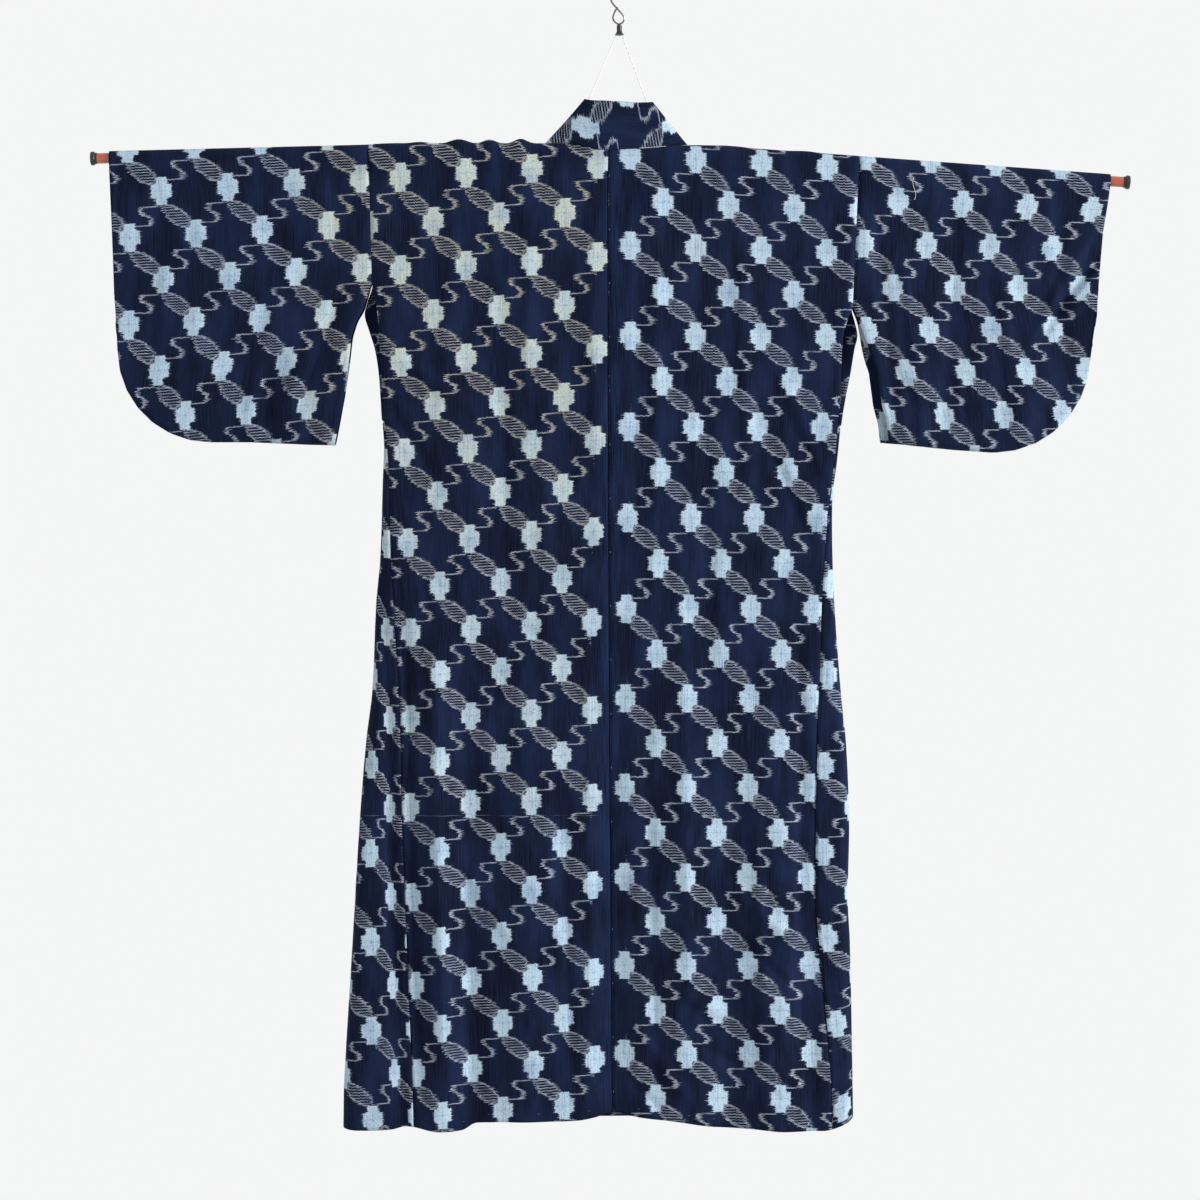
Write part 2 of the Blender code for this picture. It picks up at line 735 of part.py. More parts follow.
def cloth(name, rows, wall, kind, parts, closed=False):
    """A sheet through rows of points, faced outwards, with its wall inside."""
    bm = bmesh.new()
    grid = [[bm.verts.new(point) for point in row] for row in rows]
    for low, high in zip(grid, grid[1:]):
        count = len(low)
        for index in range(count if closed else count - 1):
            after = (index + 1) % count
            bm.faces.new((low[index], low[after], high[after], high[index]))
    bm.normal_update()
    outward = sum(face.normal.y * face.calc_center_median().y * face.calc_area()
                  for face in bm.faces)
    if outward < 0:
        bmesh.ops.reverse_faces(bm, faces=bm.faces)
    mesh = bpy.data.meshes.new(name)
    bm.to_mesh(mesh)
    bm.free()
    mesh.shade_smooth()
    piece = add_object(name, mesh, kind, parts)
    thicken = piece.modifiers.new("cloth wall", "SOLIDIFY")
    thicken.thickness = wall * MM
    thicken.offset = -1
    return piece


def tube(name, points, radius, kind, parts, sides=TUBE_SIDES):
    """A round bar along points given in metres."""
    curve = bpy.data.curves.new(name, "CURVE")
    curve.dimensions = "3D"
    spline = curve.splines.new("POLY")
    spline.points.add(len(points) - 1)
    for knot, point in zip(spline.points, points):
        knot.co = (*point, 1)
    curve.bevel_depth = radius * MM
    curve.bevel_resolution = sides
    curve.use_fill_caps = True
    curve.render_resolution_u = 0
    return add_object(name, curve, kind, parts)


def turned(name, profile, kind, parts):
    """A shape turned about its own Z, from radius and height rows that run down its outside."""
    mesh = bpy.data.meshes.new(name)
    mesh.from_pydata([(radius * MM, 0, height * MM) for radius, height in profile],
                     [(index, index + 1) for index in range(len(profile) - 1)], [])
    piece = add_object(name, mesh, kind, parts)
    spin = piece.modifiers.new("turning", "SCREW")
    spin.angle = math.tau
    spin.steps = TURNING_STEPS
    spin.render_steps = TURNING_STEPS
    spin.use_merge_vertices = True
    spin.merge_threshold = 0.00001
    spin.use_smooth_shade = True
    return piece


def rod_point(x):
    return place(x, 0, -rod_rise(x))


def add_rod(parts):
    low, high = TUBE_SPAN
    middle = [rod_point(between(low, high, step / ROD_STEPS)) for step in range(ROD_STEPS + 1)]
    tube("rod_middle", middle, TUBE_RADIUS, "rod", parts)
    for side, out in SIDES.items():
        start = (low if out < 0 else high) + out * SEAM_GAP
        points = [rod_point(start), rod_point(ARM_ENDS[side])]
        tube("rod_arm_" + side, points, ARM_RADIUS, "rod", parts)
        cap = turned("cap_" + side, CAP_PROFILE, "cap", parts)
        cap.location = points[1]
        cap.rotation_euler = (points[1] - points[0]).to_track_quat("Z", "Y").to_euler()


def smooth_route(points, steps):
    """Points of a smooth curve through the given ones."""
    route = []
    last = len(points) - 1
    for index in range(last):
        p0, p1 = points[max(index - 1, 0)], points[index]
        p2, p3 = points[index + 1], points[min(index + 2, last)]
        for step in range(steps):
            t = step / steps
            route.append(0.5 * (2 * p1 + (p2 - p0) * t + (2 * p0 - 5 * p1 + 4 * p2 - p3) * t ** 2
                                + (3 * p1 - p0 - 3 * p2 + p3) * t ** 3))
    route.append(points[-1])
    return route


def add_hook(parts):
    centre_drop = HOOK_BEND_RADIUS - HOOK_WIRE_RADIUS
    points = []
    for step in range(HOOK_STEPS + 1):
        angle = math.radians(between(*HOOK_ARC, step / HOOK_STEPS))
        points.append(Vector((HOOK_BEND_RADIUS * math.cos(angle), 0,
                              -centre_drop + HOOK_BEND_RADIUS * math.sin(angle))) * MM)
    points += [Vector((x, y, -drop)) * MM for x, drop, y in EYE_WIRE]
    tube("hook", smooth_route(points, 2), HOOK_WIRE_RADIUS, "hook", parts, WIRE_SIDES)


def add_crimp_and_string(parts):
    profile = [(radius, -height) for radius, height in CRIMP_PROFILE]
    crimp = turned("crimp", profile, "crimp", parts)
    crimp.location = Vector((CRIMP_CENTRE, 0, -CRIMP_TOP)) * MM
    under = CRIMP_TOP + CRIMP_PROFILE[-1][1] + SEAT_GAP + STRING_RADIUS / 2
    for side in SIDES:
        top = Vector((STRING_TOPS[side], 0, -under)) * MM
        foot_x = STRING_FEET[side]
        clear = TUBE_RADIUS + SEAT_GAP + STRING_RADIUS / 2
        foot = place(foot_x, 0, -rod_rise(foot_x) - clear)
        points = [top.lerp(foot, step / STRING_STEPS) for step in range(STRING_STEPS + 1)]
        tube("string_" + side, points, STRING_RADIUS, "string", parts, WIRE_SIDES)


def main():
    clear_scene()
    parts = bpy.data.collections.new("kimono_robe")
    bpy.context.scene.collection.children.link(parts)
    for side in SIDES:
        back, front = body_rows(side)
        cloth("body_" + side, back, CLOTH_WALL, "body", parts)
        cloth("front_" + side, front, CLOTH_WALL, "body", parts)
        cloth("okumi_" + side, okumi_rows(side), CLOTH_WALL, "okumi", parts)
        cloth("sleeve_" + side, sleeve_rings(side), CLOTH_WALL, "sleeve", parts, closed=True)
    cloth("collar", collar_rows(), COLLAR_WALL, "collar", parts)
    add_rod(parts)
    add_hook(parts)
    add_crimp_and_string(parts)


main()
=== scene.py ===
# %% [markdown]
# # A cotton kimono hanging on a telescopic rod
# The robe hangs with its back to us. It is cut from one narrow bolt of indigo cotton: each body panel is
# one uncut length that goes up the back, over the shoulder and down the front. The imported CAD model
# gives every place, so this lesson only dresses it: it weaves a denser sheet over each cloth solid,
# and gives the rod, the hook and the string their real finishes.

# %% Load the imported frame
import math

import bmesh
import bpy
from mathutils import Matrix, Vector, noise


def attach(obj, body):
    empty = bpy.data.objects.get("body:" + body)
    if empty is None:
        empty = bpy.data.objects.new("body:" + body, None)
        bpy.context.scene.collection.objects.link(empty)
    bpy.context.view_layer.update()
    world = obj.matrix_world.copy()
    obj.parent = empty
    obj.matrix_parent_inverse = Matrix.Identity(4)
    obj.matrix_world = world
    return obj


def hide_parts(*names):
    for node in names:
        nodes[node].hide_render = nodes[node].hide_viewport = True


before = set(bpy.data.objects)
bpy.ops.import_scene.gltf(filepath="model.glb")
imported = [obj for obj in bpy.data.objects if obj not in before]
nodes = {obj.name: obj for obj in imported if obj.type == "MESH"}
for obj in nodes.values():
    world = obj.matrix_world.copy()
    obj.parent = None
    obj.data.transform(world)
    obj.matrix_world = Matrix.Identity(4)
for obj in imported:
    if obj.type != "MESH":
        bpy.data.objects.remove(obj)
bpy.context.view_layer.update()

print("frame loaded:", len(nodes), "nodes")

# %% [markdown]
# ## Camera
# The photograph was taken straight from the front, at the height of the robe's middle. A long lens far
# away keeps the rod and the hem at one scale, so millimetres on the cloth can be read off the picture.

# %% Camera
FRAME_WIDTH = 1.4928
FRAME_CENTRE = (-0.0249, -0.7713)
PICTURE_PLANE = -0.015
CAMERA_DISTANCE = 4.0
camera = bpy.data.objects.new("camera", bpy.data.cameras.new("camera"))
camera.data.lens = camera.data.sensor_width * CAMERA_DISTANCE / FRAME_WIDTH
camera.location = (FRAME_CENTRE[0], PICTURE_PLANE - CAMERA_DISTANCE, FRAME_CENTRE[1])
camera.rotation_euler = (math.radians(90), 0, 0)
bpy.context.scene.collection.objects.link(camera)
bpy.context.scene.camera = camera
print("camera:", round(camera.data.lens, 1), "mm lens")

# %% [markdown]
# ## Room
# A white room lights dark cloth from everywhere, and a window on the right models the folds. The pale
# world gives the even part, a large lamp far to the right stands for the window, and a weak one
# fills in from the left. The floor lies well below the hem, as under a robe on a wall hook.

# %% Floor, world and lamps
FLOOR_HEIGHT = -2.0
FLOOR_CENTRE_Y = -0.4
FLOOR_HALF_SIZE = 1.6
WORLD_COLOUR = (0.915, 0.918, 0.922, 1.0)
WORLD_STRENGTH = 1.0
bm = bmesh.new()
bmesh.ops.create_grid(bm, x_segments=8, y_segments=8, size=FLOOR_HALF_SIZE)
bmesh.ops.translate(bm, verts=bm.verts, vec=(0, FLOOR_CENTRE_Y, FLOOR_HEIGHT))
floor = bpy.data.objects.new("floor", bpy.data.meshes.new("floor"))
bm.to_mesh(floor.data)
bm.free()
bpy.context.scene.collection.objects.link(floor)

world = bpy.data.worlds.new("pale room")
world.use_nodes = True
world.node_tree.nodes["Background"].inputs["Color"].default_value = WORLD_COLOUR
world.node_tree.nodes["Background"].inputs["Strength"].default_value = WORLD_STRENGTH
bpy.context.scene.world = world
bpy.context.scene.view_settings.view_transform = "Standard"

# Name, place, size in metres, watts
LAMPS = (
    ("window", (5.0, -2.1, 0.8), 2.2, 430.0),
    ("room", (-1.8, -2.6, -0.6), 2.0, 4.0),
)
for name, spot, size, watts in LAMPS:
    lamp = bpy.data.objects.new(name, bpy.data.lights.new(name, "AREA"))
    lamp.data.size = size
    lamp.data.energy = watts
    lamp.location = spot
    aim = Vector((0, 0, FRAME_CENTRE[1])) - lamp.location
    lamp.rotation_euler = aim.to_track_quat("-Z", "Y").to_euler()
    bpy.context.scene.collection.objects.link(lamp)
print("lamps:", len(LAMPS))

# %% [markdown]
# ## Adding nodes
# A finish is a small graph of nodes. One helper adds any node, sets its options and either links or
# fills its sockets, and hands back its outputs. A second turns the hex colours that a paint
# chart gives into the linear values that light needs.


# %% Node and colour helpers
def add(tree, kind, sockets=None, **options):
    """Adds a shader node, sets its options and sockets, and returns its outputs."""
    node = tree.nodes.new("ShaderNode" + kind)
    for option, value in options.items():
        setattr(node, option, value)
    for socket, value in (sockets or {}).items():
        if isinstance(value, bpy.types.NodeSocket):
            tree.links.new(value, node.inputs[socket])
        else:
            node.inputs[socket].default_value = value
    return node.outputs


def colour(code):
    """An sRGB hex colour as a linear one."""
    channels = [int(code[i:i + 2], 16) / 255 for i in (0, 2, 4)]
    return (*[c / 12.92 if c <= 0.04045 else ((c + 0.055) / 1.055) ** 2.4 for c in channels], 1.0)


def new_finish(name):
    """An empty material with its shader, and the tree to add nodes to."""
    material = bpy.data.materials.new(name)
    material.use_nodes = True
    return material, material.node_tree, material.node_tree.nodes["Principled BSDF"]


def bend_through(mapping, places):
    """Makes a node's curve go through the given places."""
    curve = mapping.curves[0]
    curve.points[0].location, curve.points[1].location = places[0], places[-1]
    for place_on_curve in places[1:-1]:
        curve.points.new(*place_on_curve)
    mapping.update()


print("helpers ready")

# %% [markdown]
# ## The woven motif
# This is kasuri, a traditional resist-dyed cloth: the weft threads are tied and dyed before weaving, so
# white figures appear in the indigo with soft, feathered sides, because no thread lands quite in
# line with the next. The figure here is a stepped four-petal flower, a ribbed leaf and a curling
# tendril, and it repeats on a half-drop lattice. A node group draws one figure
# from millimetres on the cloth, with distances to its shapes, so it stays sharp at any size.

# %% Motif sizes
REPEAT = (82.7, 115.0)
HALF_DROP = (41.35, 57.5, 0.0)
CELL_LOW = (-39.4, -25.0, 0.0)
# Half sizes of the flower's arms, the small steps in its corners and its stem
FLOWER_BLOCKS = ((12.7, 8.6), (8.2, 10.4), (6.6, 17.8))
# Threads that cross in its heart: half sizes of two lines, and the radius of a spot
FLOWER_LINES = ((0.45, 15.0), (11.5, 0.4))
FLOWER_HEART = 2.1
LEAF_TIP = (-1.3, 17.1, 0.0)
LEAF_LENGTH = 44.2
LEAF_AXIS = (0.776, 0.631, 0.0)
LEAF_ACROSS = (-0.631, 0.776, 0.0)
# Share of the leaf's length, half width in centimetres, of so many millimetres
CM = 10.0
LEAF_OUTLINE = ((0, 0.05), (0.15, 0.45), (0.4, 0.88), (0.65, 0.97), (0.85, 0.85), (1, 0.55))
LEAF_BAND = 1.9
RIB_PITCH, RIB_HALF_WIDTH, RIB_SOFTNESS = 3.6, 0.48, 0.25
# Tendril: share of its drop, and place sideways as a share of its width
TENDRIL_TOP, TENDRIL_FALL = 19.4, 24.6
TENDRIL_LEFT, TENDRIL_WIDTH = -30.0, 20.0
TENDRIL_PATH = ((0, 0.5), (0.04, 0.28), (0.16, 0.22), (0.33, 0.28), (0.43, 0.45), (0.53, 0.68),
                (0.64, 0.79), (0.8, 0.84), (0.93, 0.76), (1, 0.5))
TENDRIL_HALF_WIDTH = 2.2
# Straight runs of the tendril: middle, half size
TENDRIL_RUNS = (((-15.5, 19.8), (11.0, 0.6)), ((-24.5, 43.6), (11.0, 0.6)))
SOFT_EDGE = 0.45
print("motif repeats every", REPEAT, "mm")

# %% One figure as a node group
motif = bpy.data.node_groups.new("kasuri figure", "ShaderNodeTree")
motif.interface.new_socket("Cloth", in_out="INPUT", socket_type="NodeSocketVector")
for output_name in ("Flower", "Heart", "Leaf", "Tendril"):
    motif.interface.new_socket(output_name, in_out="OUTPUT", socket_type="NodeSocketFloat")
cloth_place = motif.nodes.new("NodeGroupInput").outputs["Cloth"]
results = motif.nodes.new("NodeGroupOutput").inputs
cell_high = (CELL_LOW[0] + REPEAT[0], CELL_LOW[1] + REPEAT[1], 1.0)
cell = add(motif, "VectorMath", {0: cloth_place, 1: cell_high, 2: CELL_LOW}, operation="WRAP")[0]
cell_axes = add(motif, "SeparateXYZ", {0: cell})


def box_distance(tree, place_socket, middle, half):
    """Distance from a point to a rectangle's edge, negative inside it."""
    shifted = add(tree, "VectorMath", {0: place_socket, 1: (*middle, 0)}, operation="SUBTRACT")[0]
    folded = add(tree, "VectorMath", {0: shifted}, operation="ABSOLUTE")[0]
    over = add(tree, "VectorMath", {0: folded, 1: (*half, 0)}, operation="SUBTRACT")[0]
    axes = add(tree, "SeparateXYZ", {0: over})
    return add(tree, "Math", {0: axes["X"], 1: axes["Y"]}, operation="MAXIMUM")[0]


def nearest(tree, distances):
    """The union of several shapes."""
    result = distances[0]
    for other in distances[1:]:
        result = add(tree, "Math", {0: result, 1: other}, operation="MINIMUM")[0]
    return result


def inked(tree, distance, softness=SOFT_EDGE):
    """One inside a shape and zero outside, with a soft edge."""
    return add(tree, "MapRange", {"Value": distance, "From Min": softness, "From Max": -softness},
               interpolation_type="SMOOTHSTEP")[0]


flower = nearest(motif, [box_distance(motif, cell, (0, 0), half) for half in FLOWER_BLOCKS])
motif.links.new(inked(motif, flower), results["Flower"])
from_heart = add(motif, "VectorMath", {0: cell}, operation="LENGTH")["Value"]
heart = [add(motif, "Math", {0: from_heart, 1: FLOWER_HEART}, operation="SUBTRACT")[0]]
heart += [box_distance(motif, cell, (0, 0), half) for half in FLOWER_LINES]
motif.links.new(inked(motif, nearest(motif, heart)), results["Heart"])
print("flower drawn")

# %% The leaf and the tendril
from_tip = add(motif, "VectorMath", {0: cell, 1: LEAF_TIP}, operation="SUBTRACT")[0]
length_run = add(motif, "VectorMath", {0: from_tip, 1: LEAF_AXIS}, operation="DOT_PRODUCT")["Value"]
leaf_share = add(motif, "Math", {0: length_run, 1: LEAF_LENGTH}, operation="DIVIDE")[0]
side_run = add(motif, "VectorMath", {0: from_tip, 1: LEAF_ACROSS}, operation="DOT_PRODUCT")["Value"]
side_away = add(motif, "Math", {0: side_run}, operation="ABSOLUTE")[0]
half_width = add(motif, "FloatCurve", {"Value": leaf_share})["Value"]
bend_through(half_width.node.mapping, LEAF_OUTLINE)
sides = add(motif, "Math", {0: half_width, 1: -CM, 2: side_away}, operation="MULTIPLY_ADD")[0]
from_middle = add(motif, "Math", {0: length_run, 1: LEAF_LENGTH / 2}, operation="SUBTRACT")[0]
ends_away = add(motif, "Math", {0: from_middle}, operation="ABSOLUTE")[0]
ends = add(motif, "Math", {0: ends_away, 1: LEAF_LENGTH / 2}, operation="SUBTRACT")[0]
leaf = add(motif, "Math", {0: sides, 1: ends}, operation="MAXIMUM")[0]
inner_leaf = add(motif, "Math", {0: leaf, 1: LEAF_BAND}, operation="ADD")[0]
rib_wave = add(motif, "Math", {0: cell_axes["Y"], 1: RIB_PITCH / 2}, operation="PINGPONG")[0]
ribs = add(motif, "MapRange", {"Value": rib_wave, "From Min": RIB_HALF_WIDTH + RIB_SOFTNESS,
                               "From Max": RIB_HALF_WIDTH - RIB_SOFTNESS})[0]
rim = add(motif, "Math", {0: 1.0, 1: inked(motif, inner_leaf)}, operation="SUBTRACT")[0]
marks = add(motif, "Math", {0: rim, 1: ribs}, operation="MAXIMUM")[0]
leaf_marks = add(motif, "Math", {0: inked(motif, leaf), 1: marks}, operation="MULTIPLY")[0]
motif.links.new(leaf_marks, results["Leaf"])

fall = add(motif, "MapRange", {"Value": cell_axes["Y"], "From Min": TENDRIL_TOP,
                               "From Max": TENDRIL_TOP + TENDRIL_FALL})[0]
sideways = add(motif, "FloatCurve", {"Value": fall})["Value"]
bend_through(sideways.node.mapping, TENDRIL_PATH)
middle_line = add(motif, "Math", {0: sideways, 1: TENDRIL_WIDTH, 2: TENDRIL_LEFT},
                  operation="MULTIPLY_ADD")[0]
off_line = add(motif, "Math", {0: cell_axes["X"], 1: middle_line}, operation="SUBTRACT")[0]
off_line = add(motif, "Math", {0: off_line}, operation="ABSOLUTE")[0]
band = add(motif, "Math", {0: off_line, 1: TENDRIL_HALF_WIDTH}, operation="SUBTRACT")[0]
whole_fall = (REPEAT[0], TENDRIL_FALL / 2)
drop_limits = box_distance(motif, cell, (0, TENDRIL_TOP + TENDRIL_FALL / 2), whole_fall)
band = add(motif, "Math", {0: band, 1: drop_limits}, operation="MAXIMUM")[0]
runs = [box_distance(motif, cell, middle, half) for middle, half in TENDRIL_RUNS]
motif.links.new(inked(motif, nearest(motif, [band] + runs)), results["Tendril"])
print("motif nodes:", len(motif.nodes))

# %% [markdown]
# ## Indigo kasuri cotton
# Plain-weave cotton from hand-dyed yarn. It is matt, with a thin bloom of loose fibre, so roughness is
# high and there is a little sheen. The threads are 0.4 mm apart, too fine to show here, so slubs and
# streaks are drawn a millimetre wide. The dye varies along the warp, which gives faint upright
# streaks, and the upper left back has yellowed. One noise for each way of the threads does it all:
# it slips the figure, streaks the ground and raises the slubs, as the same thread does in real cloth.

# %% Cloth colours and scales
INDIGO = "0f1831"
INDIGO_DEEP = "030817"
INDIGO_WORN = "172442"
INDIGO_SELVEDGE = "182a4c"
FLOWER_PALE = "a1b6c5"
FLOWER_YELLOWED = "a8b0a4"
FLOWER_SHADE = "6b819c"
LEAF_GREY = "8c95a5"
LEAF_BEIGE = "94938d"
SHEEN = "8fa3c8"
THREAD_PITCH = 1.0
# How far a weft thread slips sideways, and a warp thread up and down. Both were dyed for the
# flowers and hold them firm, but the weft alone draws the leaves, so their ends stray further
WEFT_SLIP, WARP_SLIP, LEAF_SLIP = 5.5, 2.5, 15.0
# Along the middle seam the bolt's edge is plain and bluer, this far from the first column's middle
SELVEDGE_FROM, SELVEDGE_TO, SELVEDGE_SHOWS = 6.0, 16.0, 0.45
# Only the flowers of the first column reach past its middle, so the leaves end before it
LEAVES_END = (-2.0, -0.5)
# How much shows of the flowers' frayed sides and of a whole flower
FRAYED_SHOWS, FLOWER_SHOWS = 0.55, 0.97
# Worn clouds in the ground: their width and length, and how much they show
CLOUD_SIZE, WORN_SHOWS = (35, 110), 0.6
# The upper left back has yellowed, most near the shoulder, down to an old horizontal line, in metres
YELLOWED_MOST, YELLOWED_LESS, YELLOWED_DOWN_TO = -0.50, -0.78, -1.039
# Sideways it fades in over the inner part of the left sleeve, and only behind the rod
YELLOWED_FROM_X = (-0.42, -0.355)
YELLOWED_BEHIND = (0.004, -0.004)
# Half the thickness of the old line, and how much of it shows
OLD_LINE, OLD_LINE_SHOWS = 0.0005, 0.3
print("thread pitch drawn:", THREAD_PITCH, "mm")


# %% Two lattices of figures
def half_drop(tree, cloth, output):
    """One output of the motif, on the lattice and again half a repeat across and down."""
    moved = add(tree, "VectorMath", {0: cloth, 1: HALF_DROP}, operation="ADD")[0]
    drawn = []
    for place_on_cloth in (cloth, moved):
        figure = add(tree, "Group", {}, node_tree=motif)[output]
        tree.links.new(place_on_cloth, figure.node.inputs["Cloth"])
        drawn.append(figure)
    return add(tree, "Math", {0: drawn[0], 1: drawn[1]}, operation="MAXIMUM")[0]


# %% Threads and the figure they carry
# How far a thread's colour runs along x and along y, and how far it slips
THREADS = {
    "weft": (45, THREAD_PITCH, WEFT_SLIP),
    "warp": (THREAD_PITCH, 45, WARP_SLIP),
    "end": (14, THREAD_PITCH, LEAF_SLIP),
}


def thread_noises(tree, flat):
    """Noise drawn out along the weft, the warp and the stray weft ends, and the slip of each."""
    grain, slip = {}, {}
    for thread, (run_x, run_y, reach) in THREADS.items():
        drawn_out = add(tree, "Mapping", {0: flat, "Scale": (1 / run_x, 1 / run_y, 1)})[0]
        grain[thread] = add(tree, "TexNoise", {"Vector": drawn_out, "Scale": 1.0, "Detail": 1.0},
                            noise_dimensions="2D")["Fac"]
        slip[thread] = add(tree, "Math", {0: grain[thread], 1: reach, 2: -reach / 2},
                           operation="MULTIPLY_ADD")[0]
    return grain, slip


def figures(tree, flat, slip, turn):
    """Where flowers, their hearts, leaves with tendrils, and the flowers' frayed sides lie."""
    firm_slip = add(tree, "CombineXYZ", {"X": slip["weft"], "Y": slip["warp"]})[0]
    woven = add(tree, "VectorMath", {0: flat, 1: firm_slip}, operation="ADD")[0]
    end_slip = add(tree, "CombineXYZ", {"X": slip["end"]})[0]
    strayed = add(tree, "VectorMath", {0: woven, 1: end_slip}, operation="ADD")[0]
    leaf_way = add(tree, "VectorMath", {0: strayed, "Scale": float(turn)}, operation="SCALE")[0]
    leaves, tendrils = half_drop(tree, leaf_way, "Leaf"), half_drop(tree, strayed, "Tendril")
    leaves = add(tree, "Math", {0: leaves, 1: tendrils}, operation="MAXIMUM")[0]
    frayed = half_drop(tree, strayed, "Flower")
    frayed = add(tree, "Math", {0: frayed, 1: FRAYED_SHOWS}, operation="MULTIPLY")[0]
    return half_drop(tree, woven, "Flower"), half_drop(tree, woven, "Heart"), leaves, frayed


print("threads:", ", ".join(THREADS))


# %% The ground and the bolt's plain edge
def plain_edge(tree, flat, edge):
    """Where the bolt's plain edge shows, and where leaves are drawn beside it."""
    across = add(tree, "SeparateXYZ", {0: flat})["X"]
    across = add(tree, "Math", {0: across, 1: float(edge)}, operation="MULTIPLY")[0]
    plain = add(tree, "MapRange", {"Value": across, "From Min": SELVEDGE_FROM,
                                   "From Max": SELVEDGE_TO, "To Max": abs(edge)})[0]
    past_end = add(tree, "MapRange", {"Value": across, "From Min": LEAVES_END[0],
                                      "From Max": LEAVES_END[1], "To Max": abs(edge)})[0]
    return plain, add(tree, "Math", {0: 1.0, 1: past_end}, operation="SUBTRACT")[0]


def dyed_ground(tree, cloud, warp_noise, plain):
    """Deep indigo with lighter upright streaks, cloudy wear and a bluer plain edge."""
    streaks = add(tree, "MapRange", {"Value": warp_noise, "From Min": 0.3, "From Max": 0.75})[0]
    ground = add(tree, "Mix", {0: streaks, 6: colour(INDIGO_DEEP), 7: colour(INDIGO)},
                 data_type="RGBA")[2]
    worn = add(tree, "MapRange", {"Value": cloud, "From Min": 0.42, "From Max": 0.68,
                                  "To Max": WORN_SHOWS})[0]
    ground = add(tree, "Mix", {0: worn, 6: ground, 7: colour(INDIGO_WORN)}, data_type="RGBA")[2]
    edge_tint = add(tree, "Math", {0: plain, 1: streaks}, operation="MULTIPLY")[0]
    edge_tint = add(tree, "Math", {0: edge_tint, 1: SELVEDGE_SHOWS}, operation="MULTIPLY")[0]
    return add(tree, "Mix", {0: edge_tint, 6: ground, 7: colour(INDIGO_SELVEDGE)},
               data_type="RGBA")[2]


print("ground colours:", INDIGO_DEEP, INDIGO, INDIGO_WORN)


# %% Age and the pale thread
def old_cloth(tree, cloud, weft_noise, yellowed, lined):
    """How yellow the cloth is at a place, and the old line across the left back where lined is 1."""
    spot = add(tree, "SeparateXYZ", {0: add(tree, "TexCoord")["Object"]})
    above = add(tree, "MapRange", {"Value": spot["Z"], "From Min": YELLOWED_DOWN_TO - 0.004,
                                   "From Max": YELLOWED_DOWN_TO})[0]
    fading = add(tree, "MapRange", {"Value": spot["Z"], "From Min": YELLOWED_LESS,
                                    "From Max": YELLOWED_MOST, "To Min": 0.35})[0]
    behind = add(tree, "MapRange", {"Value": spot["Y"], "From Min": YELLOWED_BEHIND[0],
                                    "From Max": YELLOWED_BEHIND[1]})[0]
    inwards = add(tree, "MapRange", {"Value": spot["X"], "From Min": YELLOWED_FROM_X[0],
                                     "From Max": YELLOWED_FROM_X[1]})[0]
    age = add(tree, "MapRange", {"Value": cloud, "From Min": 0.38, "From Max": 0.56,
                                 "To Min": yellowed / 2, "To Max": yellowed})[0]
    for limit in (above, fading, behind, inwards):
        age = add(tree, "Math", {0: age, 1: limit}, operation="MULTIPLY")[0]
    line = add(tree, "Math", {0: spot["Z"], 1: YELLOWED_DOWN_TO, 2: OLD_LINE},
               operation="COMPARE")[0]
    broken = add(tree, "MapRange", {"Value": weft_noise, "From Min": 0.5, "From Max": 0.6,
                                    "To Max": OLD_LINE_SHOWS * lined})[0]
    for limit in (behind, broken):
        line = add(tree, "Math", {0: line, 1: limit}, operation="MULTIPLY")[0]
    return age, line


def petal_colour(tree, flat, age, warp_noise, hearts):
    """Undyed weft crossed by blue warp, with flecks, duller patches and a darker heart."""
    pale = add(tree, "Mix", {0: age, 6: colour(FLOWER_PALE), 7: colour(FLOWER_YELLOWED)},
               data_type="RGBA")[2]
    crossing = add(tree, "MapRange", {"Value": warp_noise, "From Min": 0.5, "From Max": 0.75,
                                      "To Max": 0.5})[0]
    fleck = add(tree, "TexNoise", {"Vector": flat, "Scale": 1 / 2.6, "Detail": 1.0})["Fac"]
    fleck = add(tree, "MapRange", {"Value": fleck, "From Min": 0.5, "From Max": 0.78})[0]
    crossing = add(tree, "Math", {0: fleck, 1: 0.7, 2: crossing}, operation="MULTIPLY_ADD")[0]
    dull = add(tree, "TexNoise", {"Vector": flat, "Scale": 1 / 38, "Detail": 1.0})["Fac"]
    dull = add(tree, "MapRange", {"Value": dull, "From Min": 0.5, "From Max": 0.72,
                                  "To Max": 0.35})[0]
    crossing = add(tree, "Math", {0: crossing, 1: dull}, operation="ADD")[0]
    crossing = add(tree, "Math", {0: hearts, 1: 0.4, 2: crossing}, operation="MULTIPLY_ADD",
                   use_clamp=True)[0]
    return add(tree, "Mix", {0: crossing, 6: pale, 7: colour(FLOWER_SHADE)}, data_type="RGBA")[2]


print("pale thread:", FLOWER_PALE, "new,", FLOWER_YELLOWED, "yellowed")


